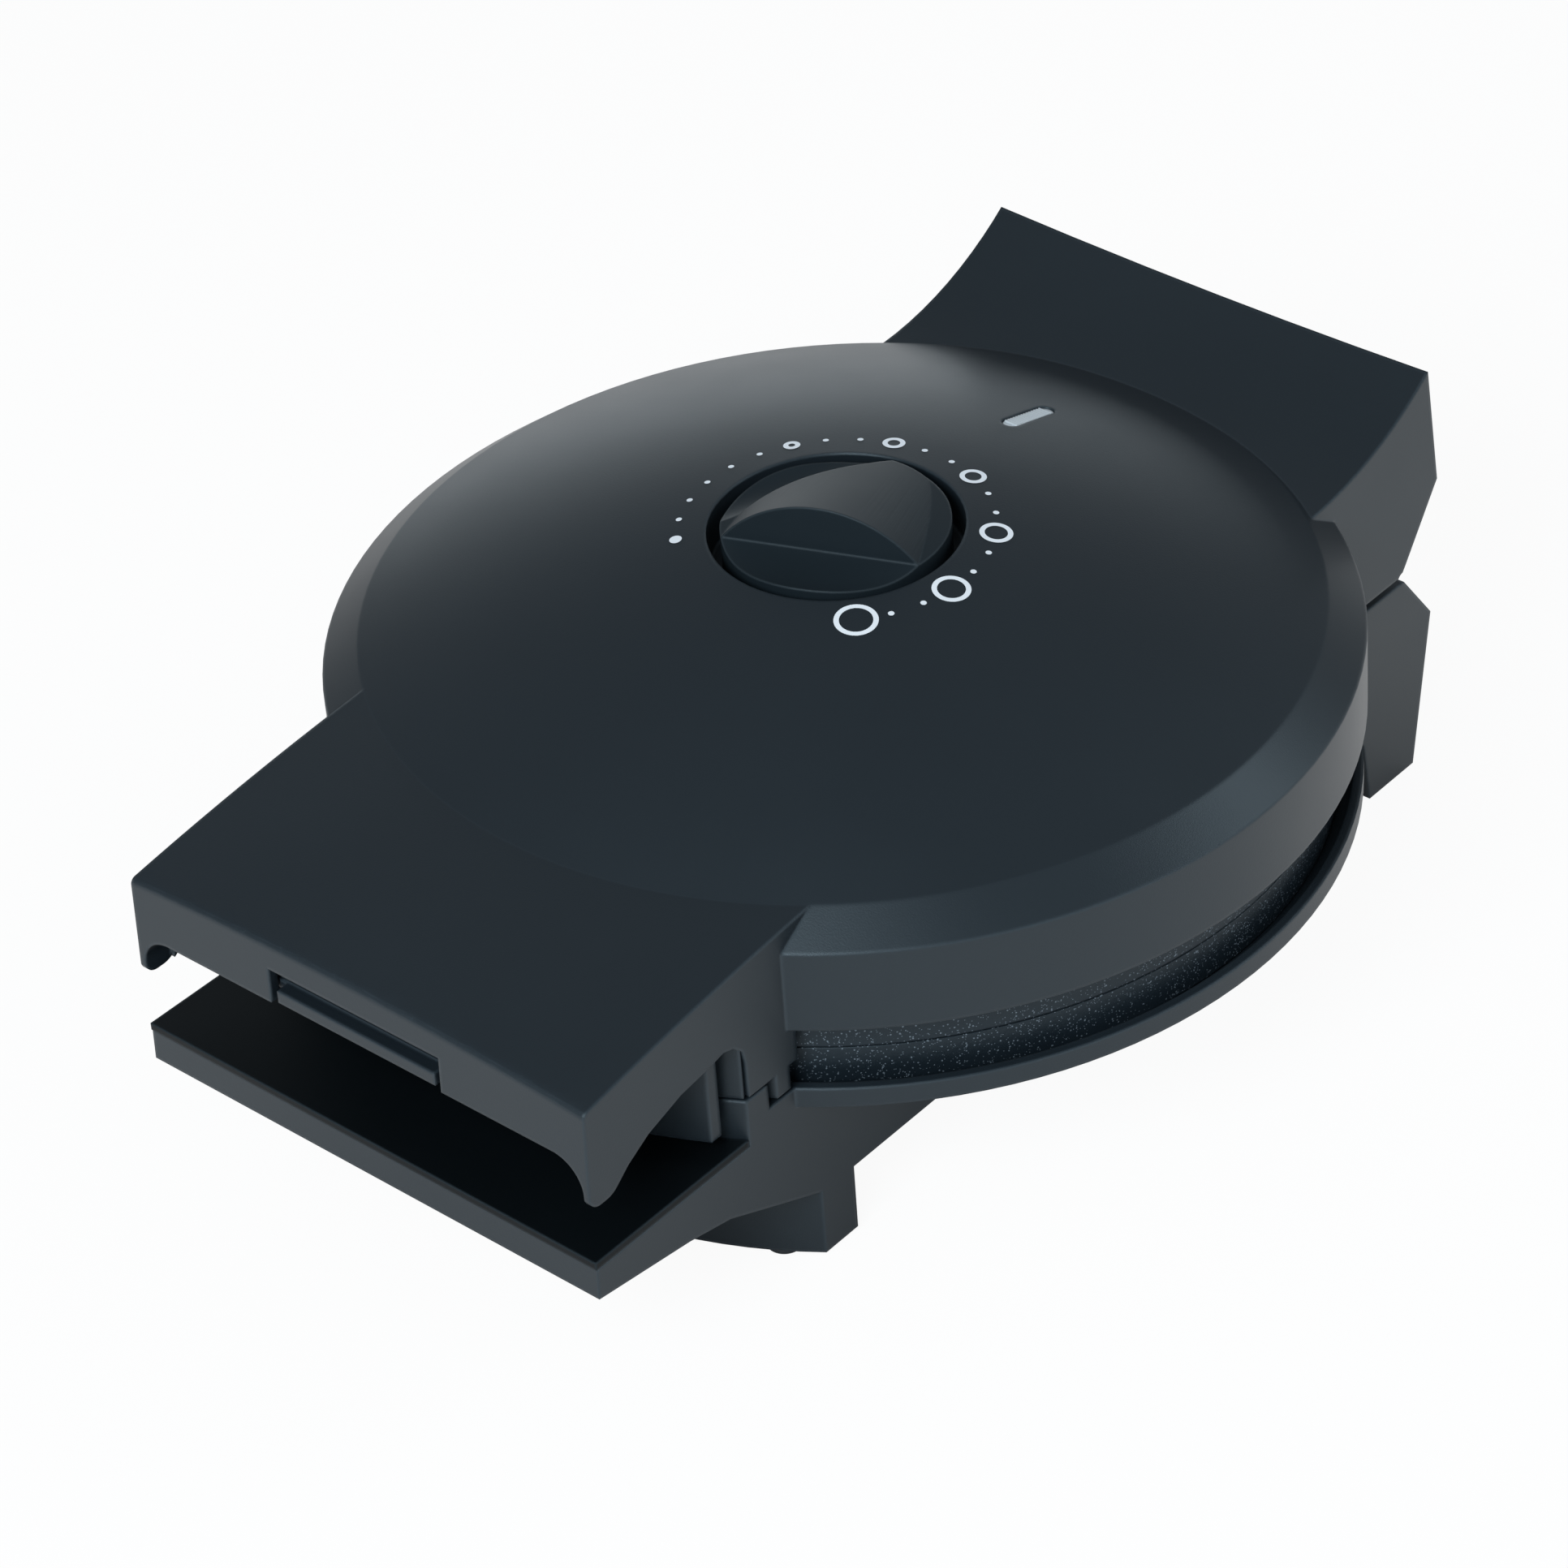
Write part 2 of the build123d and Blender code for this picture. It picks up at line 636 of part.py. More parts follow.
upper_plate = baking_plate(PARTING_Z + PLATE_GAP / 2, 1, upper_stud_spots, UPPER_STUD_END_Z)
lower_plate = baking_plate(PARTING_Z - PLATE_GAP / 2, -1, lower_stud_spots, LOWER_STUD_END_Z)
save(upper_plate, "upper_plate")
save(lower_plate, "lower_plate")


def heater(face_z, side):
    """Open ring of heating tube lying on the back of a plate, with its two ends turned away."""
    tube_z = face_z + side * (PLATE_FLOOR_T + BAKING_DEPTH + HEATER_TUBE_R)
    turn = math.radians(90 + HEATER_GAP_DEG / 2)
    across = Plane(
        origin=(0, AXIS_Y, tube_z),
        x_dir=(math.cos(turn), math.sin(turn), 0),
        z_dir=(math.sin(turn), -math.cos(turn), 0),
    )
    ends = [(HEATER_R * math.cos(turn), HEATER_R * math.sin(turn))]
    ends.append((-ends[0][0], ends[0][1]))
    with BuildPart() as tube:
        with BuildSketch(across):
            with Locations((HEATER_R, 0)):
                Circle(HEATER_TUBE_R)
        revolve(axis=DISC_AXIS, revolution_arc=360 - HEATER_GAP_DEG)
        with BuildSketch(plan(tube_z)):
            with Locations(*ends):
                Circle(HEATER_TUBE_R * 0.98)
        extrude(amount=side * (HEATER_TUBE_R + REFLECTOR_RISE))
    return tube.part


def reflector(plate_back_z, side, stud_spots):
    """Sheet dish behind a heater, resting on the back of the plate, open for studs and tube ends."""
    rim_z = plate_back_z - side * (PLATE_T - PLATE_FLOOR_T - BAKING_DEPTH)
    far_z = rim_z + side * REFLECTOR_RISE
    sheet = side * REFLECTOR_T
    dish = turned([
        (0, far_z),
        (REFLECTOR_SLOPE_R, far_z),
        (REFLECTOR_SLOPE_R + WALL, rim_z),
        (REFLECTOR_R, rim_z),
        (REFLECTOR_R, rim_z + sheet),
        (REFLECTOR_SLOPE_R + WALL + REFLECTOR_T, rim_z + sheet),
        (REFLECTOR_SLOPE_R + REFLECTOR_T, far_z + sheet),
        (0, far_z + sheet),
    ])
    low = min(rim_z, far_z) - HEATER_TUBE_R
    high = max(rim_z, far_z) + HEATER_TUBE_R
    heater_hole_w = 2 * (HEATER_R * math.sin(math.radians(HEATER_GAP_DEG / 2)) + 2 * HEATER_TUBE_R)
    with BuildPart() as sheet_dish:
        add(dish)
        add(drum(BOSS_R + 1, low, high, stud_spots), mode=Mode.SUBTRACT)
        add(slab(low, high, heater_hole_w, HEATER_R - 1, 4 * HEATER_TUBE_R), mode=Mode.SUBTRACT)
    return sheet_dish.part


upper_heater = heater(PARTING_Z + PLATE_GAP / 2, 1)
lower_heater = heater(PARTING_Z - PLATE_GAP / 2, -1)
save(upper_heater, "upper_heater")
save(lower_heater, "lower_heater")
upper_back_z = PARTING_Z + PLATE_GAP / 2 + PLATE_T
lower_back_z = PARTING_Z - PLATE_GAP / 2 - PLATE_T
upper_reflector = reflector(upper_back_z, 1, upper_stud_spots)
lower_reflector = reflector(lower_back_z, -1, lower_stud_spots)
save(upper_reflector, "upper_reflector")
save(lower_reflector, "lower_reflector")

upper_screw_head_z = UPPER_STUD_END_Z + 5 + SCREW_HEAD_H
upper_plate_screws = screw_set(upper_stud_spots, upper_screw_head_z, 5 + 10, up=False)
save(upper_plate_screws, "upper_plate_screws")

# Dial: the thermostat under the well floor, its shaft and the knob
thermostat_top_z = WELL_FLOOR_Z - WALL
with BuildPart() as thermostat_body:
    with BuildSketch(plan(thermostat_top_z)):
        RectangleRounded(THERMOSTAT_SIZE, THERMOSTAT_SIZE, SOFT_EDGE)
    extrude(amount=-THERMOSTAT_H)
    with BuildSketch(plan(thermostat_top_z)):
        Circle(SHAFT_R + SHAFT_CLEAR)
    extrude(amount=-THERMOSTAT_H + WALL, mode=Mode.SUBTRACT)
save(thermostat_body.part, "thermostat_body")

flat = SHAFT_R * 0.6
with BuildPart() as thermostat_shaft:
    with BuildSketch(plan(thermostat_top_z - THERMOSTAT_H + WALL + 0.2)):
        Circle(SHAFT_R)
    extrude(amount=SHAFT_TOP_Z - thermostat_top_z + THERMOSTAT_H - WALL - 0.2)
    with BuildSketch(plan(WELL_FLOOR_Z + KNOB_CLEAR)):
        with Locations((0, flat + SHAFT_R)):
            Rectangle(4 * SHAFT_R, 2 * SHAFT_R)
    extrude(amount=SHAFT_TOP_Z - WELL_FLOOR_Z, mode=Mode.SUBTRACT)
save(thermostat_shaft.part, "thermostat_shaft")

knob_sphere_rise = KNOB_TOP_Z - KNOB_RIM_Z
knob_sphere_r = (KNOB_R**2 + knob_sphere_rise**2) / (2 * knob_sphere_rise)
half_r = KNOB_R / 2
half_z = KNOB_TOP_Z - knob_sphere_r + math.sqrt(knob_sphere_r**2 - half_r**2)
knob_dome = turned([
    (0, KNOB_TOP_Z),
    (0, WELL_FLOOR_Z + KNOB_CLEAR),
    (KNOB_R, WELL_FLOOR_Z + KNOB_CLEAR),
    (KNOB_R, KNOB_RIM_Z),
], (half_r, half_z))
far_deg = POINTER_DEG + 180
grip_points = [
    (KNOB_R * math.cos(math.radians(d)), KNOB_R * math.sin(math.radians(d)))
    for d in (POINTER_DEG, far_deg - GRIP_HALF_DEG, far_deg, far_deg + GRIP_HALF_DEG)
]
wide_far = tuple(v * 1.5 for v in grip_points[2])
scoop_top = KNOB_TOP_Z + WALL

with BuildPart() as grip_form:
    with BuildSketch(plan(WELL_FLOOR_Z + 1)):
        with BuildLine():
            Polyline(grip_points[0], grip_points[1], wide_far, grip_points[3], close=True)
        make_face()
    extrude(amount=scoop_top - WELL_FLOOR_Z)

with BuildPart() as scoops:
    add(drum(KNOB_R * 1.2, KNOB_RIM_Z - SCOOP_DROP / 2, scoop_top))
    add(grip_form.part, mode=Mode.SUBTRACT)

knob_floor_z = KNOB_RIM_Z - SCOOP_DROP - KNOB_SKIRT_T
with BuildPart() as thermostat_knob:
    add(knob_dome)
    add(scoops.part, mode=Mode.SUBTRACT)
    with BuildSketch(plan(WELL_FLOOR_Z + KNOB_CLEAR)):
        Circle(KNOB_R - KNOB_SKIRT_T)
        Circle(KNOB_HUB_R, mode=Mode.SUBTRACT)
    extrude(amount=knob_floor_z - WELL_FLOOR_Z - KNOB_CLEAR, mode=Mode.SUBTRACT)
    add(thermostat_shaft.part, mode=Mode.SUBTRACT)
save(thermostat_knob.part, "thermostat_knob")

# Indicator window and its lamp
lens_top_z = dome_z(LAMP_Y + LAMP_L / 2) - LENS_SINK
with BuildPart() as indicator_lens:
    with BuildSketch(plan(lens_top_z - LENS_H)):
        with Locations((0, LAMP_Y)):
            SlotOverall(LAMP_L - 2 * LAMP_FIT, LAMP_W - 2 * LAMP_FIT, rotation=90)
    extrude(amount=LENS_H)
    with BuildSketch(plan(lens_top_z - LENS_H)):
        with Locations((0, LAMP_Y)):
            SlotOverall(LAMP_L + WALL, LAMP_W + WALL, rotation=90)
    extrude(amount=-WALL / 2)
save(indicator_lens.part, "indicator_lens")

lamp_top_z = lens_top_z - LENS_H - WALL / 2
with BuildPart() as indicator_lamp:
    with BuildSketch(plan(lamp_top_z)):
        with Locations((0, LAMP_Y)):
            Circle(LAMP_R)
    extrude(amount=-LAMP_BODY_H)
save(indicator_lamp.part, "indicator_lamp")

# Base housing: bowl, lower handle, feet and lower tail in one moulding
base_profile = side_form([
    (-HANDLE_REACH, LOWER_FRONT_Z),
    (-HANDLE_REACH + 31.1, UNDER_FLAT_Z),
    (-130.0, 34.1),
    (-112.0, 26.2),
    (-97.6, BASE_Z),
    (REAR_FOOT_Y - WALL, BASE_Z),
    (REAR_FOOT_Y, FOOT_END_Z),
    (REAR_FOOT_BACK_Y, FOOT_END_Z),
    (LOWER_TAIL_Y, LOWER_TAIL_Z),
    (HINGE_Y + 0.6, LOWER_DECK_Z),
    (SWOOP_Y, LOWER_DECK_Z),
    (SWOOP_Y, FLOOR_Z),
    (-SWOOP_Y, FLOOR_Z),
    (-SWOOP_Y, COVER_TOP_Z - COVER_T),
    (-HANDLE_REACH + FRONT_DRAFT / 4, COVER_TOP_Z - COVER_T),
])
bowl = turned([
    (0, BOWL_FLOOR_Z - WALL / 2),
    (BOWL_R, BOWL_FLOOR_Z - WALL / 2),
    (BOWL_SHOULDER_R, BOWL_SHOULDER_Z),
    (RIM_R, RIM_BAND_Z),
    (RIM_R, FLOOR_Z),
    (0, FLOOR_Z),
])
bowl_cavity = turned([
    (0, BOWL_FLOOR_Z + WALL),
    (BOWL_R - WALL, BOWL_FLOOR_Z + WALL),
    (BOWL_SHOULDER_R - WALL, BOWL_SHOULDER_Z + WALL),
    (RIM_R - RIM_T, RIM_BAND_Z + WALL),
    (RIM_R - RIM_T, PARTING_Z + WALL),
    (0, PARTING_Z + WALL),
])

with BuildPart() as well_cavity:
    add(turned([
        (0, BOWL_FLOOR_Z + WALL),
        (WELL_CAVITY_R, BOWL_FLOOR_Z + WALL),
        (BOWL_SHOULDER_R - WALL, BASE_Z + 4 * WALL),
        (RIM_R - RIM_T - WALL / 2, BASE_Z + 6 * WALL),
        (RIM_R - RIM_T - WALL / 2, PARTING_Z),
        (0, PARTING_Z),
    ]))
    add(inner_wedge, mode=Mode.INTERSECT)

with BuildPart() as lower_handle_cavity:
    add(side_form([
        (-HANDLE_REACH + WALL, LOWER_FRONT_Z + POCKET_FLOOR_T),
        (-HANDLE_REACH + 31.1, UNDER_FLAT_Z + POCKET_FLOOR_T),
        (-HANDLE_WALL_R + 1, UNDER_FLAT_Z - 0.7 + POCKET_FLOOR_T),
        (-HANDLE_WALL_R + 1, COVER_TOP_Z + WALL),
        (-HANDLE_REACH + WALL, COVER_TOP_Z + WALL),
    ]))
    add(inner_wedge, mode=Mode.INTERSECT)
    add(drum(HANDLE_WALL_R, BASE_Z, PARTING_Z), mode=Mode.SUBTRACT)

with BuildPart() as lower_tail_cavity:
    add(side_form([
        (SWOOP_Y, BASE_Z + WALL),
        (REAR_FOOT_Y, BASE_Z + WALL),
        (REAR_FOOT_Y + WALL, 0),
        (REAR_FOOT_BACK_Y - WALL, 0),
        (LOWER_TAIL_Y - WALL, LOWER_TAIL_Z - 0.6),
        (HINGE_Y - 0.4, LOWER_DECK_Z - WALL),
        (SWOOP_Y, LOWER_DECK_Z - WALL),
    ]))
    add(inner_wedge, mode=Mode.INTERSECT)
    add(drum(RIM_R, BASE_Z, PARTING_Z), mode=Mode.SUBTRACT)

ear_outline = [
    (HINGE_Y - KNUCKLE_R, HINGE_Z),
    (HINGE_Y, HINGE_Z - 0.4),
    (HINGE_Y + 0.6, LOWER_DECK_Z),
    (LOWER_TAIL_Y - 0.4, LOWER_TAIL_Z + 0.4),
    (LOWER_TAIL_Y - 2 * WALL, LOWER_TAIL_Z - 6 * WALL),
    (HINGE_Y - KNUCKLE_R, LOWER_TAIL_Z - 6 * WALL),
]
ear_step = KNUCKLE_W / 2 + SIDE_CLEAR + EAR_W / 2
ear_places = [s * (KNUCKLE_X + t * ear_step) for s in (-1, 1) for t in (-1, 1)]
ears = [side_form(ear_outline, x, EAR_W) for x in ear_places]
ear_barrels = [rod(KNUCKLE_R, HINGE_Y, HINGE_Z, x, EAR_W) for x in ear_places]
foot_cover_front = REAR_FOOT_Y + WALL + FOOT_COVER_FIT
foot_cover_back = REAR_FOOT_BACK_Y - WALL - FOOT_COVER_FIT
foot_cover_mid = (foot_cover_front + foot_cover_back) / 2
foot_screw_spots = [(-REAR_PAD_X / 2, foot_cover_mid), (REAR_PAD_X / 2, foot_cover_mid)]
cover_head_z = LOWER_FRONT_Z - WALL
plate_screw_head_z = BASE_Z + 0.2
bush_y = REAR_FOOT_BACK_Y + (BUSH_Z / LOWER_TAIL_Z) * (LOWER_TAIL_Y - REAR_FOOT_BACK_Y)
bush_plane = Plane(origin=(0, AXIS_Y + bush_y - BUSH_L, BUSH_Z), x_dir=(1, 0, 0), z_dir=(0, 1, 0))

with BuildPart() as bush_hole:
    with BuildSketch(bush_plane):
        Circle(BUSH_R)
    extrude(amount=2 * BUSH_L)

with BuildPart() as lower_housing:
    add(base_profile)
    add(ring_form(HANDLE_WALL_R, BLOCK_R, COVER_TOP_Z - 3 * COVER_T, LOWER_EDGE_Z))
    add(ring_form(FOOT_R, FOOT_R - FOOT_T, FOOT_END_Z, BASE_Z + 3 * WALL))
    add(ring_form(BLOCK_R + 1, RIM_R - RIM_T, FLOOR_Z - 3 * WALL, FLOOR_Z))
    add(body_wedge, mode=Mode.INTERSECT)
    add(bowl)
    add(bowl_cavity, mode=Mode.SUBTRACT)
    add(well_cavity.part, mode=Mode.SUBTRACT)
    add(lower_handle_cavity.part, mode=Mode.SUBTRACT)
    add(lower_tail_cavity.part, mode=Mode.SUBTRACT)
    add(drum(BOSS_R, COVER_TOP_Z - 6 * COVER_T, PEG_END_Z, liner_screw_spots))
    add(drum(SCREW_R, BASE_Z, COVER_TOP_Z, liner_screw_spots), mode=Mode.SUBTRACT)
    add(drum(HEAD_BORE_R, BASE_Z, cover_head_z + SCREW_HEAD_H, liner_screw_spots), mode=Mode.SUBTRACT)
    add(drum(BOSS_R, BOWL_FLOOR_Z, LOWER_STUD_END_Z, lower_stud_spots))
    add(drum(SCREW_R, 0, LOWER_STUD_END_Z, lower_stud_spots), mode=Mode.SUBTRACT)
    add(drum(HEAD_BORE_R, 0, plate_screw_head_z + SCREW_HEAD_H, lower_stud_spots), mode=Mode.SUBTRACT)
    add(drum(BOSS_R, FOOT_END_Z + FOOT_COVER_T, LOWER_DECK_Z - WALL / 2, foot_screw_spots))
    add(drum(BOSS_BORE_R, 0, BASE_Z, foot_screw_spots), mode=Mode.SUBTRACT)
    add(hinge_room, mode=Mode.SUBTRACT)
    add(ears)
    add(ear_barrels)
    add(rod(PIN_R, HINGE_Y, HINGE_Z, 0, HINGE_SPAN), mode=Mode.SUBTRACT)
    add(bush_hole.part, mode=Mode.SUBTRACT)
save(lower_housing.part, "lower_housing")

with BuildPart() as lower_handle_cover:
    add(slab(COVER_TOP_Z - COVER_T, COVER_TOP_Z, 2 * FRONT_HALF_WIDTH, -HANDLE_REACH / 2, HANDLE_REACH))
    add(body_wedge, mode=Mode.INTERSECT)
    add(drum(HANDLE_WALL_R + LINER_FIT, 0, PARTING_Z), mode=Mode.SUBTRACT)
    add(drum(BOSS_R, PEG_END_Z, COVER_TOP_Z - COVER_T, liner_screw_spots))
    add(drum(BOSS_BORE_R, PEG_END_Z, COVER_TOP_Z - COVER_T / 2, liner_screw_spots), mode=Mode.SUBTRACT)
save(lower_handle_cover.part, "lower_handle_cover")

cover_screws = screw_set(liner_screw_spots, cover_head_z, PEG_END_Z - cover_head_z + 2)
save(cover_screws, "cover_screws")
lower_plate_screws = screw_set(lower_stud_spots, plate_screw_head_z, LOWER_STUD_END_Z - BOWL_FLOOR_Z + 8)
save(lower_plate_screws, "lower_plate_screws")

# Hinge pins: fixed in the ears of the base, turning in the knuckles of the lid
pin_half = ear_step + EAR_W / 2
with BuildPart() as hinge_pins:
    for side in (-1, 1):
        add(rod(PIN_R, HINGE_Y, HINGE_Z, side * KNUCKLE_X, 2 * pin_half))
save(hinge_pins.part, "hinge_pins")

# Closing plate under the rear foot, with its screws, and the rubber feet
cover_size = (2 * (REAR_HALF_WIDTH - WALL - FOOT_COVER_FIT), foot_cover_back - foot_cover_front)
with BuildPart() as foot_cover:
    add(slab(FOOT_END_Z, FOOT_END_Z + FOOT_COVER_T, cover_size[0], foot_cover_mid, cover_size[1]))
    add(drum(SCREW_R, 0, BASE_Z, foot_screw_spots), mode=Mode.SUBTRACT)
    add(drum(HEAD_BORE_R, 0, FOOT_END_Z + SCREW_HEAD_H / 2, foot_screw_spots), mode=Mode.SUBTRACT)
save(foot_cover.part, "foot_cover")
foot_screws = screw_set(foot_screw_spots, FOOT_END_Z + SCREW_HEAD_H / 2 - SCREW_HEAD_H, FOOT_COVER_T + 6)
save(foot_screws, "foot_screws")

foot_mid_r = FOOT_R - FOOT_T / 2
front_pad_y = -math.sqrt(foot_mid_r**2 - PAD_X**2)
pad_spots = [
    (-PAD_X, front_pad_y),
    (PAD_X, front_pad_y),
    (-REAR_PAD_X, foot_cover_mid),
    (REAR_PAD_X, foot_cover_mid),
]
foot_pads = drum(PAD_R, 0, FOOT_END_Z, pad_spots)
save(foot_pads, "foot_pads")

# Cord bushing in the rear wall, open and without a cord, and the terminal block behind it
bush_start = AXIS_Y + bush_y - BUSH_L + BUSH_FLANGE_T
bush_tube_plane = Plane(origin=(0, bush_start, BUSH_Z), x_dir=(1, 0, 0), z_dir=(0, 1, 0))
bush_lip_plane = Plane(origin=(0, AXIS_Y + bush_y + BUSH_FLANGE_T, BUSH_Z), x_dir=(1, 0, 0), z_dir=(0, 1, 0))
with BuildPart() as cord_bushing:
    with BuildSketch(bush_tube_plane):
        Circle(BUSH_R)
    extrude(amount=BUSH_L)
    with BuildSketch(bush_lip_plane):
        Circle(BUSH_FLANGE_R)
    extrude(amount=BUSH_FLANGE_T)
    with BuildSketch(bush_tube_plane):
        Circle(BUSH_BORE_R)
    extrude(amount=2 * BUSH_L, mode=Mode.SUBTRACT)
save(cord_bushing.part, "cord_bushing")

terminal_low = FOOT_END_Z + FOOT_COVER_T
terminal_top = terminal_low + TERMINAL_SIZE[2]
terminal_xs = [TERMINAL_SIZE[0] * (i - 1) / 3.4 for i in range(3)]
with BuildPart() as terminal_block:
    add(slab(terminal_low, terminal_top, TERMINAL_SIZE[0], TERMINAL_Y, TERMINAL_SIZE[1]))
    with BuildSketch(plan(terminal_top)):
        for x in terminal_xs:
            with Locations((x, TERMINAL_Y - TERMINAL_SIZE[1] / 4), (x, TERMINAL_Y + TERMINAL_SIZE[1] / 4)):
                Circle(TERMINAL_WELL_R)
    extrude(amount=-TERMINAL_SIZE[2] / 2, mode=Mode.SUBTRACT)
save(terminal_block.part, "terminal_block")
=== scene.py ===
# %% [markdown]
# A round electric krumkake iron, dressed for a studio picture. The solid parts come from the
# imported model, so this lesson is about what a model of solids lacks: the grain of moulded plastic,
# the speckle of a coated plate, the printed scale round the dial and the ribs in the lamp's
# window. The dial's grip, the lobes of the handle and the window are also cut here in finer forms
# than the solids have. Everything is in metres, with the handles towards -Y.

# %% Load the frame
import json
import math

import bmesh
import bpy
from mathutils import Matrix, Vector


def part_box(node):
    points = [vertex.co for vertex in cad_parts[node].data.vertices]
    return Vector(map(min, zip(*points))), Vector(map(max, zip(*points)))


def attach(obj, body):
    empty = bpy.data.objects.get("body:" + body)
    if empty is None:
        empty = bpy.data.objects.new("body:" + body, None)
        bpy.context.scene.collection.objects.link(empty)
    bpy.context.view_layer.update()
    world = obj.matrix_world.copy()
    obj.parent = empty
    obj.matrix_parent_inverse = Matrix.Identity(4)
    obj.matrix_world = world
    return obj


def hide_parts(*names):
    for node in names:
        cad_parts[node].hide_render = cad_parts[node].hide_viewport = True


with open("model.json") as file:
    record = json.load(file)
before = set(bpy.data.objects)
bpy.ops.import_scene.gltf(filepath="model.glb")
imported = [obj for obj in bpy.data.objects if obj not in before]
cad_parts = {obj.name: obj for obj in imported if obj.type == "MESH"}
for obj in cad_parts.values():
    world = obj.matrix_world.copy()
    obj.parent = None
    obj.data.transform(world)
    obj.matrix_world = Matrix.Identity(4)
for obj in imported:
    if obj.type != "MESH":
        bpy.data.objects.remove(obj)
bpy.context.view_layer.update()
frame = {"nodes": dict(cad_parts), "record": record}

# %% [markdown]
# The camera comes first, because every later choice is judged through it. It stands in front and
# to the right of the iron, looks down at about 37 degrees and is tipped a few degrees to the side.
# A long lens keeps the outlines almost parallel, as a catalogue picture does. The turn is built
# from three directions: the one back from the scene to the camera, and the two that span its
# picture.

# %% Camera
AZIMUTH = math.radians(43.45)
ELEVATION = math.radians(36.70)
ROLL = math.radians(-4.38)
LENS_MM = 134.9
CAMERA_PLACE = Vector((0.7968, -0.8548, 0.9285))

back = Vector((
    math.sin(AZIMUTH) * math.cos(ELEVATION),
    -math.cos(AZIMUTH) * math.cos(ELEVATION),
    math.sin(ELEVATION),
))
level = Vector((0, 0, 1)).cross(back).normalized()
upright = back.cross(level)
right = level * math.cos(ROLL) + upright * math.sin(ROLL)
up = upright * math.cos(ROLL) - level * math.sin(ROLL)

camera_data = bpy.data.cameras.new("studio_camera")
camera_data.lens = LENS_MM
camera_data.sensor_width = 36
camera_data.clip_start = 0.05
camera = bpy.data.objects.new("studio_camera", camera_data)
bpy.context.scene.collection.objects.link(camera)
turn = Matrix((right, up, back)).transposed().to_4x4()
camera.matrix_world = Matrix.Translation(CAMERA_PLACE) @ turn
bpy.context.scene.camera = camera
print("camera at", [round(v, 3) for v in CAMERA_PLACE])

# %% [markdown]
# The floor is a plain pale sheet. To the camera, and to anything glossy or clear, it shows as
# white, while all other rays see an ordinary pale surface, whose small share in the white keeps a
# faint shadow. Plastic that mirrors the floor right under the iron has to mirror a shaded floor,
# so there the white fades with the share of open sky above each point.

# %% Floor and world
FLOOR_HALF = 12.0
FLOOR_COLOUR = (0.86, 0.87, 0.88, 1)
FLOOR_WHITE_SHARE = 0.94
CONTACT_REACH = 0.1
CONTACT_SAMPLES = 6
SKY_COLOUR = (0.93, 0.96, 1.0, 1)
SKY_STRENGTH = 0.26


def node(tree, kind, **settings):
    """Adds a node; each setting names an attribute, or a socket by number."""
    made = tree.nodes.new(kind)
    for name, value in settings.items():
        if name.startswith("in_"):
            made.inputs[int(name[3:])].default_value = value
        else:
            setattr(made, name, value)
    return made


def camera_like(tree):
    """Two masks: rays from the camera, a mirror or glass, and rays straight from the camera."""
    path = node(tree, "ShaderNodeLightPath")
    either = node(tree, "ShaderNodeMath", operation="MAXIMUM")
    any_ray = node(tree, "ShaderNodeMath", operation="MAXIMUM")
    tree.links.new(path.outputs["Is Camera Ray"], either.inputs[0])
    tree.links.new(path.outputs["Is Glossy Ray"], either.inputs[1])
    tree.links.new(either.outputs[0], any_ray.inputs[0])
    tree.links.new(path.outputs["Is Transmission Ray"], any_ray.inputs[1])
    return any_ray.outputs[0], path.outputs["Is Camera Ray"]


floor_mesh = bpy.data.meshes.new("floor")
corners = [(-FLOOR_HALF, -FLOOR_HALF, 0), (FLOOR_HALF, -FLOOR_HALF, 0)]
corners += [(FLOOR_HALF, FLOOR_HALF, 0), (-FLOOR_HALF, FLOOR_HALF, 0)]
floor_mesh.from_pydata(corners, [], [(0, 1, 2, 3)])
floor = bpy.data.objects.new("floor", floor_mesh)
bpy.context.scene.collection.objects.link(floor)

floor_finish = bpy.data.materials.new("pale_floor")
floor_finish.use_nodes = True
floor_tree = floor_finish.node_tree
floor_tree.nodes.clear()
floor_end = node(floor_tree, "ShaderNodeOutputMaterial")
floor_mix = node(floor_tree, "ShaderNodeMixShader")
floor_matt = node(floor_tree, "ShaderNodeBsdfDiffuse")
floor_matt.inputs["Color"].default_value = FLOOR_COLOUR
floor_white = node(floor_tree, "ShaderNodeEmission")
seen = node(floor_tree, "ShaderNodeMath", operation="MULTIPLY", in_1=FLOOR_WHITE_SHARE)
any_sight, straight_sight = camera_like(floor_tree)
open_sky = node(floor_tree, "ShaderNodeAmbientOcclusion", samples=CONTACT_SAMPLES)
open_sky.inputs["Distance"].default_value = CONTACT_REACH
lit = node(floor_tree, "ShaderNodeMath", operation="MAXIMUM")
floor_tree.links.new(any_sight, seen.inputs[0])
floor_tree.links.new(seen.outputs[0], floor_mix.inputs[0])
floor_tree.links.new(straight_sight, lit.inputs[0])
floor_tree.links.new(open_sky.outputs["AO"], lit.inputs[1])
floor_tree.links.new(lit.outputs[0], floor_white.inputs["Strength"])
floor_tree.links.new(floor_matt.outputs[0], floor_mix.inputs[1])
floor_tree.links.new(floor_white.outputs[0], floor_mix.inputs[2])
floor_tree.links.new(floor_mix.outputs[0], floor_end.inputs["Surface"])
floor_mesh.materials.append(floor_finish)

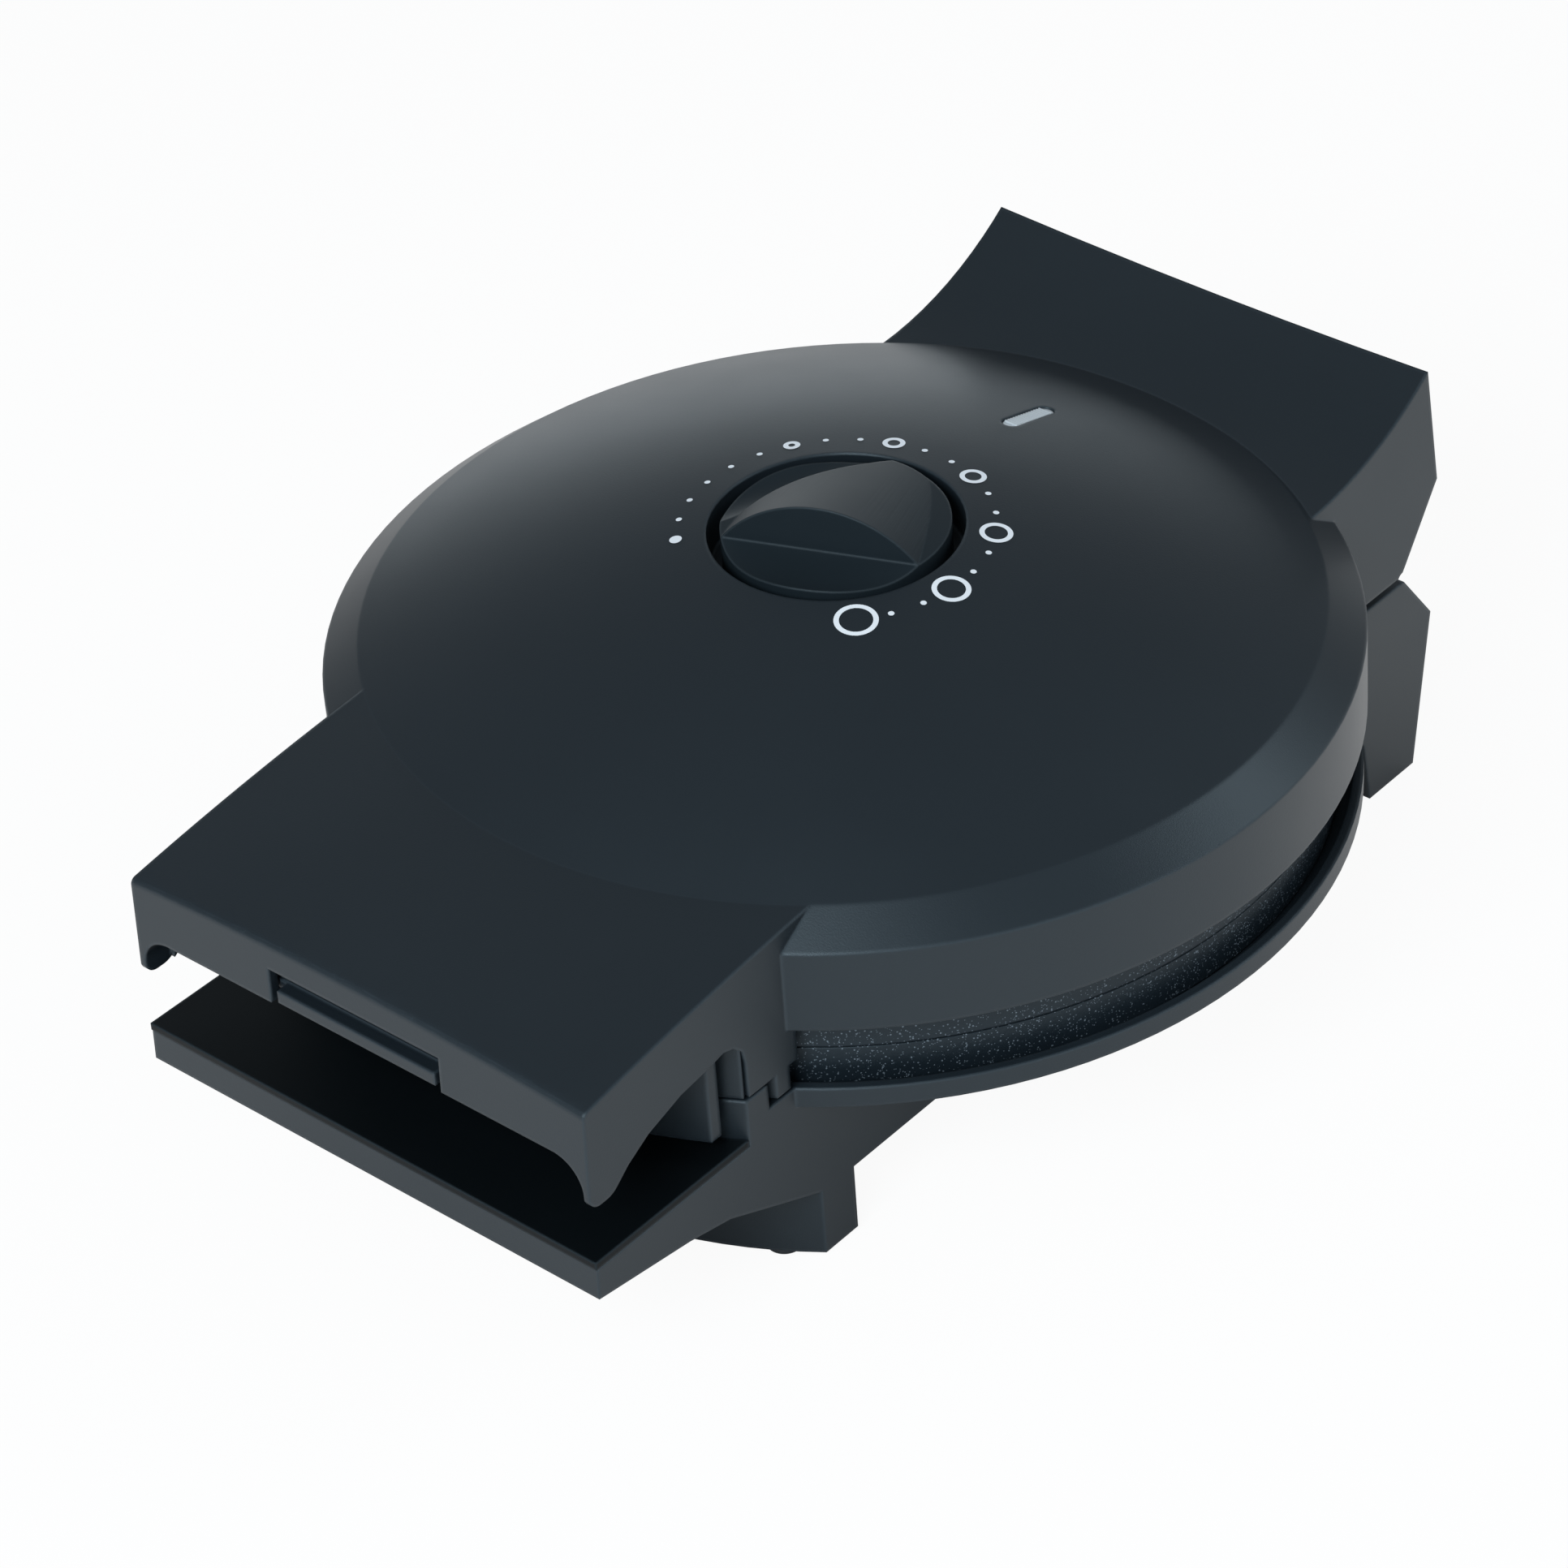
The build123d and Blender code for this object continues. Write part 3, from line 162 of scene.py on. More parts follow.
world = bpy.data.worlds.new("studio")
bpy.context.scene.world = world
world.use_nodes = True
world_tree = world.node_tree
world_tree.nodes.clear()
world_end = node(world_tree, "ShaderNodeOutputWorld")
sky = node(world_tree, "ShaderNodeBackground")
sky.inputs["Color"].default_value = SKY_COLOUR
sky.inputs["Strength"].default_value = SKY_STRENGTH
world_tree.links.new(sky.outputs[0], world_end.inputs["Surface"])
bpy.context.scene.view_settings.view_transform = "Standard"
print("floor:", 2 * FLOOR_HALF, "m, sky strength:", SKY_STRENGTH)

# %% [markdown]
# Four soft boxes light the iron. A wide, low board stands behind it on the left: only the far side
# of the dome mirrors it, as one broad sheen. A box at the right picks out the side walls, one
# beside the camera lights the colour of the plastic, and one behind on the right shows in the
# rounded edges. Each is turned to face the iron by the same short rule.

# %% Lamps
MIDDLE = Vector((0, 0, 0.07))
LAMP_COLOUR = (0.86, 0.95, 1.0)


def soft_box(name, place, width, height, power):
    """A flat lamp that faces the middle of the iron."""
    data = bpy.data.lights.new(name, "AREA")
    data.shape = "RECTANGLE"
    data.size = width
    data.size_y = height
    data.energy = power
    data.color = LAMP_COLOUR
    lamp = bpy.data.objects.new(name, data)
    bpy.context.scene.collection.objects.link(lamp)
    lamp.location = place
    lamp.rotation_mode = "QUATERNION"
    lamp.rotation_quaternion = (MIDDLE - Vector(place)).to_track_quat("-Z", "Y")


soft_box("rear_board", (-1.1, 1.35, 0.22), 1.9, 0.44, 3.6)
soft_box("side_box", (1.5, -0.1, 0.5), 0.9, 0.6, 2.4)
soft_box("front_box", (0.5, -1.5, 1.3), 1.0, 0.8, 38)
soft_box("edge_box", (1.0, 0.97, 0.95), 0.7, 0.6, 5)

# %% [markdown]
# Moulded plastic has no perfectly sharp edge: the mould's corners are slightly rounded, and hands
# polish them. The solids have sharp edges, so one shader group rounds them in the shading and
# gives a mask of where they are. A bevel node looks at the surface a fraction of a millimetre
# round each point and blends its directions; where the blend differs from the true direction,
# there is an edge.

# %% Group for rounded and worn edges
def new_group(name, inputs, outputs):
    """Empty shader group with named sockets; each input is (name, kind, value)."""
    tree = bpy.data.node_groups.new(name, "ShaderNodeTree")
    for label, kind, value in inputs:
        socket = tree.interface.new_socket(label, in_out="INPUT", socket_type=kind)
        socket.default_value = value
    for label, kind in outputs:
        tree.interface.new_socket(label, in_out="OUTPUT", socket_type=kind)
    start = tree.nodes.new("NodeGroupInput")
    end = tree.nodes.new("NodeGroupOutput")
    return tree, start, end


FLOAT = "NodeSocketFloat"
VECTOR = "NodeSocketVector"
EDGE_SAMPLES = 6

edge_group, start, end = new_group(
    "soft_edges",
    [("Radius", FLOAT, 0.0009), ("Sharpness", FLOAT, 14.0)],
    [("Normal", VECTOR), ("Edge", FLOAT)],
)
rounding = node(edge_group, "ShaderNodeBevel", samples=EDGE_SAMPLES)
true_way = node(edge_group, "ShaderNodeNewGeometry")
agree = node(edge_group, "ShaderNodeVectorMath", operation="DOT_PRODUCT")
differ = node(edge_group, "ShaderNodeMath", operation="SUBTRACT", in_0=1.0)
strong = node(edge_group, "ShaderNodeMath", operation="MULTIPLY", use_clamp=True)
edge_group.links.new(start.outputs["Radius"], rounding.inputs["Radius"])
edge_group.links.new(rounding.outputs[0], agree.inputs[0])
edge_group.links.new(true_way.outputs["True Normal"], agree.inputs[1])
edge_group.links.new(agree.outputs["Value"], differ.inputs[1])
edge_group.links.new(differ.outputs[0], strong.inputs[0])
edge_group.links.new(start.outputs["Sharpness"], strong.inputs[1])
edge_group.links.new(rounding.outputs[0], end.inputs["Normal"])
edge_group.links.new(strong.outputs[0], end.inputs["Edge"])
print("group:", edge_group.name)

# %% [markdown]
# The housing has a fine spark-eroded grain: even, slightly pebbled, and only visible where light
# grazes it. A noise at about a third of a millimetre makes the pebbles and a second, broader one
# makes the faint unevenness of a big moulding. The same group serves every plastic and rubber
# part, each with its own scale and depth.

# %% Group for moulded grain
grain_group, start, end = new_group(
    "moulded_grain",
    [("Grain Size", FLOAT, 3200.0), ("Patch Size", FLOAT, 22.0)],
    [("Height", FLOAT), ("Patches", FLOAT)],
)
place = node(grain_group, "ShaderNodeTexCoord")
pebbles = node(grain_group, "ShaderNodeTexNoise", noise_dimensions="3D")
pebbles.inputs["Detail"].default_value = 2.0
patches = node(grain_group, "ShaderNodeTexNoise", noise_dimensions="3D")
patches.inputs["Detail"].default_value = 4.0
grain_group.links.new(place.outputs["Object"], pebbles.inputs["Vector"])
grain_group.links.new(place.outputs["Object"], patches.inputs["Vector"])
grain_group.links.new(start.outputs["Grain Size"], pebbles.inputs["Scale"])
grain_group.links.new(start.outputs["Patch Size"], patches.inputs["Scale"])
grain_group.links.new(pebbles.outputs[0], end.inputs["Height"])
grain_group.links.new(patches.outputs[0], end.inputs["Patches"])
print("group:", grain_group.name)

# %% [markdown]
# The material for moulded plastic joins both groups. The grain feeds a bump, whose normal starts
# from the rounded one. The colour moves a little with the broad patches and gets paler along the
# edges, partly as wear and partly as a painted highlight, and the roughness follows the patches.
# The sheen has the cool tint of the studio.

# %% Moulded plastic and rubber
def grouped(tree, group, **values):
    """Places a shader group and sets its inputs by name."""
    made = tree.nodes.new("ShaderNodeGroup")
    made.node_tree = group
    for name, value in values.items():
        made.inputs[name.replace("_", " ").title()].default_value = value
    return made


def blend_colour(tree, mask, low, high):
    """Colour that goes from low to high with a mask."""
    mix = node(tree, "ShaderNodeMix", data_type="RGBA")
    tree.links.new(mask, mix.inputs[0])
    for socket, value in ((mix.inputs[6], low), (mix.inputs[7], high)):
        if isinstance(value, tuple):
            socket.default_value = (*value, 1)
        else:
            tree.links.new(value, socket)
    return mix.outputs[2]


def ranged(tree, value, low, high):
    """Number between low and high that follows a value from 0 to 1."""
    span = node(tree, "ShaderNodeMapRange", in_3=low, in_4=high)
    tree.links.new(value, span.inputs[0])
    return span.outputs[0]


def blank_material(name):
    """Material with one Principled shader, and its tree."""
    finish = bpy.data.materials.new(name)
    finish.use_nodes = True
    tree = finish.node_tree
    return finish, tree, tree.nodes["Principled BSDF"]


SHEEN_TINT = (0.78, 0.92, 1.0, 1)
PATCH_SHADE = 0.86
ROUGH_SPREAD = 0.05
GRAIN_STRENGTH = 0.5


def rough_patches(tree, skin, shader, rough, spread):
    """Roughness that follows the broad patches."""
    value = ranged(tree, skin.outputs["Patches"], rough - spread, rough + spread)
    tree.links.new(value, shader.inputs["Roughness"])


def bumped(tree, height, edges, shader, strength, depth):
    """Bump over the rounded edges."""
    bump = node(tree, "ShaderNodeBump")
    bump.inputs["Strength"].default_value = strength
    bump.inputs["Distance"].default_value = depth
    tree.links.new(height, bump.inputs["Height"])
    tree.links.new(edges.outputs["Normal"], bump.inputs["Normal"])
    tree.links.new(bump.outputs[0], shader.inputs["Normal"])


def moulded(
    name, colour, wear_and_highlight, rough, grain, depth, patch_size=22.0, radius=0.0009, coat=0.0, level=0.5
):
    """Moulded plastic or rubber with grain, faint patches and paler edges: wear and painted
    highlight.
    """
    finish, tree, shader = blank_material(name)
    edges = grouped(tree, edge_group, radius=radius)
    skin = grouped(tree, grain_group, grain_size=grain, patch_size=patch_size)
    dark = tuple(PATCH_SHADE * v for v in colour)
    base = blend_colour(tree, skin.outputs["Patches"], dark, colour)
    # Paler edges: partly wear, and partly a painted highlight along the rounded edges.
    wear_and_highlight_base = blend_colour(tree, edges.outputs["Edge"], base, wear_and_highlight)
    tree.links.new(wear_and_highlight_base, shader.inputs["Base Color"])
    rough_patches(tree, skin, shader, rough, ROUGH_SPREAD)
    bumped(tree, skin.outputs["Height"], edges, shader, GRAIN_STRENGTH, depth)
    shader.inputs["Coat Weight"].default_value = coat
    shader.inputs["Specular Tint"].default_value = SHEEN_TINT
    shader.inputs["Specular IOR Level"].default_value = level
    return finish


housing_plastic = moulded(
    "housing_plastic", (0.0100, 0.0148, 0.0195), (0.022, 0.031, 0.039), 0.40, 2600, 0.00005,
    radius=0.0013,
)
knob_plastic = moulded(
    "knob_plastic", (0.0090, 0.0145, 0.0190), (0.020, 0.028, 0.034), 0.5, 3600, 0.00003,
    level=0.3,
)
# Painted shade: the lower handle's plate is coloured near black for the shade in the slot under the
# lid's handle.
cover_plastic_painted_shade = moulded(
    "cover_plastic_painted_shade", (0.0015, 0.0026, 0.0034), (0.016, 0.023, 0.028), 0.5, 2600, 0.00004,
    level=0.18,
)
foot_rubber = moulded(
    "foot_rubber", (0.018, 0.018, 0.020), (0.035, 0.035, 0.037), 0.78, 1400, 0.0001
)
terminal_plastic = moulded(
    "terminal_plastic", (0.62, 0.58, 0.47), (0.7, 0.67, 0.58), 0.4, 1800, 0.00002
)
housing_finishes = (housing_plastic, knob_plastic, cover_plastic_painted_shade, foot_rubber, terminal_plastic)
print("moulded finishes:", [finish.name for finish in housing_finishes])

# %% [markdown]
# The baking plates are cast aluminium under a dark coating full of tiny pale flakes. Two cell
# patterns of different size give the flakes: only the cells whose random number is high become
# pale, so the flakes lie apart. The casting's skin shows as a shallow, broader bump.

# %% Coated plates
FLAKE_SCALES = (1900.0, 3100.0)
FLAKE_RARITY = 0.92
FLAKE_REACH = 0.42
CAST_SHADE = 0.8
CAST_SPREAD = 0.06
CAST_STRENGTH = 0.6
CAST_DEPTH = 0.0001


def speckled_coating(name, colour, flake, rough):
    """Dark coating with scattered pale flakes over a cast skin."""
    finish, tree, shader = blank_material(name)
    edges = grouped(tree, edge_group, radius=0.0006)
    skin = grouped(tree, grain_group, grain_size=900.0, patch_size=60.0)
    place = node(tree, "ShaderNodeTexCoord")
    dark = tuple(CAST_SHADE * v for v in colour)
    base = blend_colour(tree, skin.outputs["Patches"], dark, colour)
    for scale in FLAKE_SCALES:
        cells = node(tree, "ShaderNodeTexVoronoi", feature="F1")
        cells.inputs["Scale"].default_value = scale
        parts = node(tree, "ShaderNodeSeparateColor")
        chosen = node(tree, "ShaderNodeMath", operation="GREATER_THAN", in_1=FLAKE_RARITY)
        near = node(tree, "ShaderNodeMath", operation="LESS_THAN", in_1=FLAKE_REACH)
        flakes = node(tree, "ShaderNodeMath", operation="MULTIPLY")
        tree.links.new(place.outputs["Object"], cells.inputs["Vector"])
        tree.links.new(cells.outputs["Color"], parts.inputs[0])
        tree.links.new(parts.outputs[0], chosen.inputs[0])
        tree.links.new(cells.outputs["Distance"], near.inputs[0])
        tree.links.new(chosen.outputs[0], flakes.inputs[0])
        tree.links.new(near.outputs[0], flakes.inputs[1])
        base = blend_colour(tree, flakes.outputs[0], base, flake)
    tree.links.new(base, shader.inputs["Base Color"])
    rough_patches(tree, skin, shader, rough, CAST_SPREAD)
    bumped(tree, skin.outputs["Height"], edges, shader, CAST_STRENGTH, CAST_DEPTH)
    shader.inputs["Metallic"].default_value = 0.25
    shader.inputs["Specular Tint"].default_value = SHEEN_TINT
    return finish


coated_plate = speckled_coating(
    "coated_plate", (0.0100, 0.0165, 0.0230), (0.13, 0.16, 0.19), 0.42
)
print("coated finish:", coated_plate.name)

# %% [markdown]
# Screws, pins, heating tubes and reflectors are bare metal. One maker serves them all: brushed
# streaks come from a noise squeezed along one direction, and a broad noise tints the metal, which
# turns into heat colours on the tubes.

# %% Metals
STREAK_SPREAD = (0.08, 0.1)
STREAK_STRENGTH = 0.25
STREAK_DEPTH = 0.00003


def brushed(name, colour, tint, rough, squeeze):
    """Bare metal with fine streaks and a broad tint."""
    finish, tree, shader = blank_material(name)
    edges = grouped(tree, edge_group, radius=0.0003)
    place = node(tree, "ShaderNodeTexCoord")
    stretch = node(tree, "ShaderNodeMapping")
    stretch.inputs["Scale"].default_value = squeeze
    streaks = node(tree, "ShaderNodeTexNoise")
    streaks.inputs["Scale"].default_value = 900.0
    tree.links.new(place.outputs["Object"], stretch.inputs["Vector"])
    tree.links.new(stretch.outputs[0], streaks.inputs["Vector"])
    skin = grouped(tree, grain_group, grain_size=1200.0, patch_size=45.0)
    tinted = blend_colour(tree, skin.outputs["Patches"], tint, colour)
    tree.links.new(tinted, shader.inputs["Base Color"])
    dull = ranged(tree, streaks.outputs[0], rough - STREAK_SPREAD[0], rough + STREAK_SPREAD[1])
    tree.links.new(dull, shader.inputs["Roughness"])
    bumped(tree, streaks.outputs[0], edges, shader, STREAK_STRENGTH, STREAK_DEPTH)
    shader.inputs["Metallic"].default_value = 1.0
    return finish


screw_steel = brushed("screw_steel", (0.56, 0.57, 0.59), (0.44, 0.45, 0.48), 0.3, (1, 1, 0.1))
heater_steel = brushed("heater_steel", (0.30, 0.26, 0.22), (0.16, 0.13, 0.14), 0.42, (1, 1, 1))
reflector_sheet = brushed(
    "reflector_sheet", (0.72, 0.73, 0.74), (0.60, 0.60, 0.60), 0.24, (0.05, 1, 1)
)
print("metals:", [finish.name for finish in (screw_steel, heater_steel, reflector_sheet)])

# %% [markdown]
# The lamp's window is a milky grey plastic, and the lamp below it a small tinted glass bulb. The
# window stays opaque: in the real one the light only glows through it.

# %% Window and lamp
lens_plastic = moulded(
    "lens_plastic", (0.52, 0.57, 0.61), (0.6, 0.64, 0.67), 0.3, 1500, 0.00002, coat=0.3
)

lamp_glass, lamp_tree, lamp_shader = blank_material("lamp_glass")
lamp_skin = grouped(lamp_tree, grain_group, grain_size=500.0, patch_size=120.0)
lamp_patches = lamp_skin.outputs["Patches"]
lamp_tint = blend_colour(lamp_tree, lamp_patches, (0.75, 0.2, 0.12), (0.9, 0.38, 0.25))
lamp_tree.links.new(lamp_tint, lamp_shader.inputs["Base Color"])
lamp_shader.inputs["Transmission Weight"].default_value = 0.8
lamp_shader.inputs["Roughness"].default_value = 0.08
print("window and lamp:", lens_plastic.name, lamp_glass.name)

# %% [markdown]
# Each node of the model now gets its finish. The material goes into the slots that the packed
# object already has, so its mesh isn't touched. The plate on the lower handle gets a far darker
# finish than the rest of the housing, as painted shade for the slot between the two handles.

# %% Finishes on the solid parts
FINISHES = {
    "housing_plastic": housing_plastic,
    "knob_plastic": knob_plastic,
    "coated_plate": coated_plate,
    "screw_steel": screw_steel,
    "heater_steel": heater_steel,
    "reflector_sheet": reflector_sheet,
    "foot_rubber": foot_rubber,
    "lens_plastic": lens_plastic,
    "lamp_glass": lamp_glass,
    "terminal_plastic": terminal_plastic,
}
for part in frame["record"]["subparts"]:
    solid = frame["nodes"][part["node"]]
    if not solid.material_slots:
        solid.data.materials.append(FINISHES[part["material_slot"]])
    for place in solid.material_slots:
        place.material = FINISHES[part["material_slot"]]
for place in frame["nodes"]["lower_handle_cover"].material_slots:
    place.material = cover_plastic_painted_shade

# %% [markdown]
# The scale round the dial is printed in white ink: small dots at even angles, a solid off dot, and
# rings that grow towards the hottest setting. Ink lies on the dome, so each mark is a thin flat
# washer pressed onto the dome's sphere. The dome's radius follows from two circles of the solid:
# the crease, whose radius and height are known, and the top.

# %% Dome under the print
MM = 0.001
DISC_Y = 11.5 * MM
CREASE_R = 118.7 * MM
CREASE_Z = 104.2 * MM
DOME_TOP_Z = 129.6 * MM
INK_LIFT = 0.06 * MM
rise = DOME_TOP_Z - CREASE_Z
dome_r = (CREASE_R**2 + rise**2) / (2 * rise)


def on_dome(x, y, lift=0.0):
    """Point over (x, y), measured from the disc's axis, at a small height above the dome."""
    height = DOME_TOP_Z - dome_r + math.sqrt(dome_r**2 - x * x - y * y)
    return Vector((x, y + DISC_Y, height + lift))


print("dome radius:", round(dome_r, 4))

# %% [markdown]
# The small dots repeat, so Geometry Nodes make them: a circle's points, one disc on each, and a
# sum that lifts every point onto the sphere. The count, the radius of the scale and the size of
# the dot are named inputs. The first point holds the off dot, and every third one from the sixth
# on holds a ring, so no small dot stands there.

# %% Tree for the printed dots
MARK_COUNT = 22
MARK_STEP = math.radians(-12.63)
MARK_START = math.radians(-137.4)
SCALE_R = 39.0 * MM
DOT_R = 0.78 * MM
DOT_SIDES = 16
RING_EVERY = 3.0
LAST_PLAIN = 4.5
ABOVE_ZERO = 0.5


def geometry_tree(name, inputs):
    """Geometry tree with named inputs and one geometry output."""
    tree = bpy.data.node_groups.new(name, "GeometryNodeTree")
    for label, kind, value in inputs:
        socket = tree.interface.new_socket(label, in_out="INPUT", socket_type=kind)
        if value is not None:
            socket.default_value = value
    tree.interface.new_socket("Geometry", in_out="OUTPUT", socket_type="NodeSocketGeometry")
    return tree, tree.nodes.new("NodeGroupInput"), tree.nodes.new("NodeGroupOutput")


def grown(name, tree, values, body, finish):
    """Runs a geometry tree with the given inputs and keeps the result as a plain mesh."""
    carrier = bpy.data.objects.new(name + "_carrier", bpy.data.meshes.new(name + "_carrier"))
    bpy.context.scene.collection.objects.link(carrier)
    modifier = carrier.modifiers.new("grow", "NODES")
    modifier.node_group = tree
    for item in tree.interface.items_tree:
        if item.in_out == "INPUT" and item.name in values:
            modifier[item.identifier] = values[item.name]
    bpy.context.view_layer.update()
    evaluated = carrier.evaluated_get(bpy.context.evaluated_depsgraph_get())
    mesh = bpy.data.meshes.new_from_object(evaluated)
    bpy.data.objects.remove(carrier)
    mesh.name = name
    mesh.materials.clear()
    mesh.materials.append(finish)
    piece = bpy.data.objects.new(name, mesh)
    bpy.context.scene.collection.objects.link(piece)
    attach(piece, body)
    print(name, "faces:", len(mesh.polygons))


dot_tree, start, end = geometry_tree("printed_dots", [
    ("Count", "NodeSocketInt", MARK_COUNT),
    ("Scale Radius", FLOAT, SCALE_R),
    ("Start", FLOAT, MARK_START),
    ("Step", FLOAT, MARK_STEP),
    ("Dot Radius", FLOAT, DOT_R),
    ("Centre Y", FLOAT, DISC_Y),
    ("Dome Radius", FLOAT, dome_r),
    ("Dome Centre Z", FLOAT, DOME_TOP_Z - dome_r + INK_LIFT),
    ("Ink", "NodeSocketMaterial", None),
])
link = dot_tree.links.new


def compared(operation, limit):
    """Comparison of a number with a limit."""
    return node(
        dot_tree, "FunctionNodeCompare", data_type="FLOAT", operation=operation, in_1=limit
    )


points = node(dot_tree, "GeometryNodePoints")
link(start.outputs["Count"], points.inputs[0])
index = node(dot_tree, "GeometryNodeInputIndex")
angle = node(dot_tree, "ShaderNodeMath", operation="MULTIPLY_ADD")
link(index.outputs[0], angle.inputs[0])
link(start.outputs["Step"], angle.inputs[1])
link(start.outputs["Start"], angle.inputs[2])
parts = []
for operation in ("COSINE", "SINE"):
    wave = node(dot_tree, "ShaderNodeMath", operation=operation)
    reach = node(dot_tree, "ShaderNodeMath", operation="MULTIPLY")
    link(angle.outputs[0], wave.inputs[0])
    link(wave.outputs[0], reach.inputs[0])
    link(start.outputs["Scale Radius"], reach.inputs[1])
    parts.append(reach.outputs[0])
spot = node(dot_tree, "ShaderNodeCombineXYZ")
link(parts[0], spot.inputs[0])
link(parts[1], spot.inputs[1])
link(spot.outputs[0], points.inputs[1])
kept = compared("GREATER_THAN", ABOVE_ZERO)
third = node(dot_tree, "ShaderNodeMath", operation="MODULO", in_1=RING_EVERY)
link(index.outputs[0], third.inputs[0])
early = compared("LESS_THAN", LAST_PLAIN)
late = compared("GREATER_THAN", ABOVE_ZERO)
link(third.outputs[0], kept.inputs[0])
link(index.outputs[0], early.inputs[0])
link(index.outputs[0], late.inputs[0])
first_run = node(dot_tree, "FunctionNodeBooleanMath", operation="AND")
either = node(dot_tree, "FunctionNodeBooleanMath", operation="OR")
link(early.outputs[0], first_run.inputs[0])
link(late.outputs[0], first_run.inputs[1])
link(first_run.outputs[0], either.inputs[0])
link(kept.outputs[0], either.inputs[1])
disc = node(dot_tree, "GeometryNodeMeshCircle", fill_type="NGON")
disc.inputs["Vertices"].default_value = DOT_SIDES
link(start.outputs["Dot Radius"], disc.inputs["Radius"])
spread = node(dot_tree, "GeometryNodeInstanceOnPoints")
link(points.outputs[0], spread.inputs["Points"])
link(either.outputs[0], spread.inputs["Selection"])
link(disc.outputs[0], spread.inputs["Instance"])
real = node(dot_tree, "GeometryNodeRealizeInstances")
link(spread.outputs[0], real.inputs[0])
flat_place = node(dot_tree, "GeometryNodeInputPosition")
reach = node(dot_tree, "ShaderNodeVectorMath", operation="DOT_PRODUCT")
link(flat_place.outputs[0], reach.inputs[0])
link(flat_place.outputs[0], reach.inputs[1])
square = node(dot_tree, "ShaderNodeMath", operation="POWER", in_1=2.0)
link(start.outputs["Dome Radius"], square.inputs[0])
left = node(dot_tree, "ShaderNodeMath", operation="SUBTRACT")
link(square.outputs[0], left.inputs[0])
link(reach.outputs["Value"], left.inputs[1])
root = node(dot_tree, "ShaderNodeMath", operation="SQRT")
link(left.outputs[0], root.inputs[0])
height = node(dot_tree, "ShaderNodeMath", operation="ADD")
link(root.outputs[0], height.inputs[0])
link(start.outputs["Dome Centre Z"], height.inputs[1])
shift = node(dot_tree, "ShaderNodeCombineXYZ")
link(start.outputs["Centre Y"], shift.inputs[1])
link(height.outputs[0], shift.inputs[2])
lift = node(dot_tree, "GeometryNodeSetPosition")
link(real.outputs[0], lift.inputs["Geometry"])
link(shift.outputs[0], lift.inputs["Offset"])
paint = node(dot_tree, "GeometryNodeSetMaterial")
link(lift.outputs[0], paint.inputs["Geometry"])
link(start.outputs["Ink"], paint.inputs["Material"])
link(paint.outputs[0], end.inputs[0])
print("tree:", dot_tree.name)

# %% [markdown]
# Printed ink is slightly raised, satin and never quite even. Its material has a patchy white and a
# little roughness of its own.

# %% Ink and the dots
INK_WHITE = (0.86, 0.90, 0.95)
ink = moulded("dial_ink", INK_WHITE, INK_WHITE, 0.45, 2400, 0.00001, patch_size=90.0)
grown("dial_dots", dot_tree, {"Ink": ink}, "lid", ink)

# %% [markdown]
# The off dot and the rings differ in size, so plain mesh code makes them. A ring is a strip
# between two circles, and the off dot is one filled circle. Each stands at a step of the scale.

# %% Rings of the scale
RING_STROKE = 1.3 * MM
OFF_DOT_R = 1.55 * MM
RING_DIAMETERS = {6: 4.3, 9: 5.7, 12: 6.7, 15: 8.2, 18: 9.5, 21: 10.8}
RING_SIDES = 48


def printed_ring(bm, step, outer, inner):
    """Flat ring, or a disc where inner is zero, laid on the dome at a step of the scale."""
    turned = MARK_START + MARK_STEP * step
    cx = SCALE_R * math.cos(turned)
    cy = SCALE_R * math.sin(turned)
    loops = []
    for radius in (outer, inner):
        if radius == 0:
            continue
        circle = []
        for i in range(RING_SIDES):
            a = 2 * math.pi * i / RING_SIDES
            place = on_dome(cx + radius * math.cos(a), cy + radius * math.sin(a), INK_LIFT)
            circle.append(bm.verts.new(place))
        loops.append(circle)
    if len(loops) == 1:
        bm.faces.new(loops[0])
        return
    for i in range(RING_SIDES):
        j = (i + 1) % RING_SIDES
        bm.faces.new((loops[0][i], loops[0][j], loops[1][j], loops[1][i]))


def mesh_piece(name, bm, body, finish):
    """Turns built geometry into a flat-faced piece that rides on a body."""
    mesh = bpy.data.meshes.new(name)
    bm.to_mesh(mesh)
    bm.free()
    mesh.materials.append(finish)
    piece = bpy.data.objects.new(name, mesh)
    bpy.context.scene.collection.objects.link(piece)
    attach(piece, body)
    print(name, "faces:", len(mesh.polygons))


rings = bmesh.new()
printed_ring(rings, 0, OFF_DOT_R, 0)
for step, diameter in RING_DIAMETERS.items():
    printed_ring(rings, step, diameter * MM / 2, diameter * MM / 2 - RING_STROKE)
mesh_piece("dial_rings", rings, "lid", ink)

# %% [markdown]
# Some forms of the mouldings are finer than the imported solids. They are cut here from closed
# meshes: one function joins loops of points into a closed skin, and one runs exact Booleans over
# such skins and keeps the result as a plain mesh. Edges over twelve degrees stay sharp, and the
# rest is smooth.

# %% Closed skins and Booleans
SHARP_FROM_DEG = 12
WELD_REACH = 1e-6
X_AXIS = Vector((1, 0, 0))
Y_AXIS = Vector((0, 1, 0))


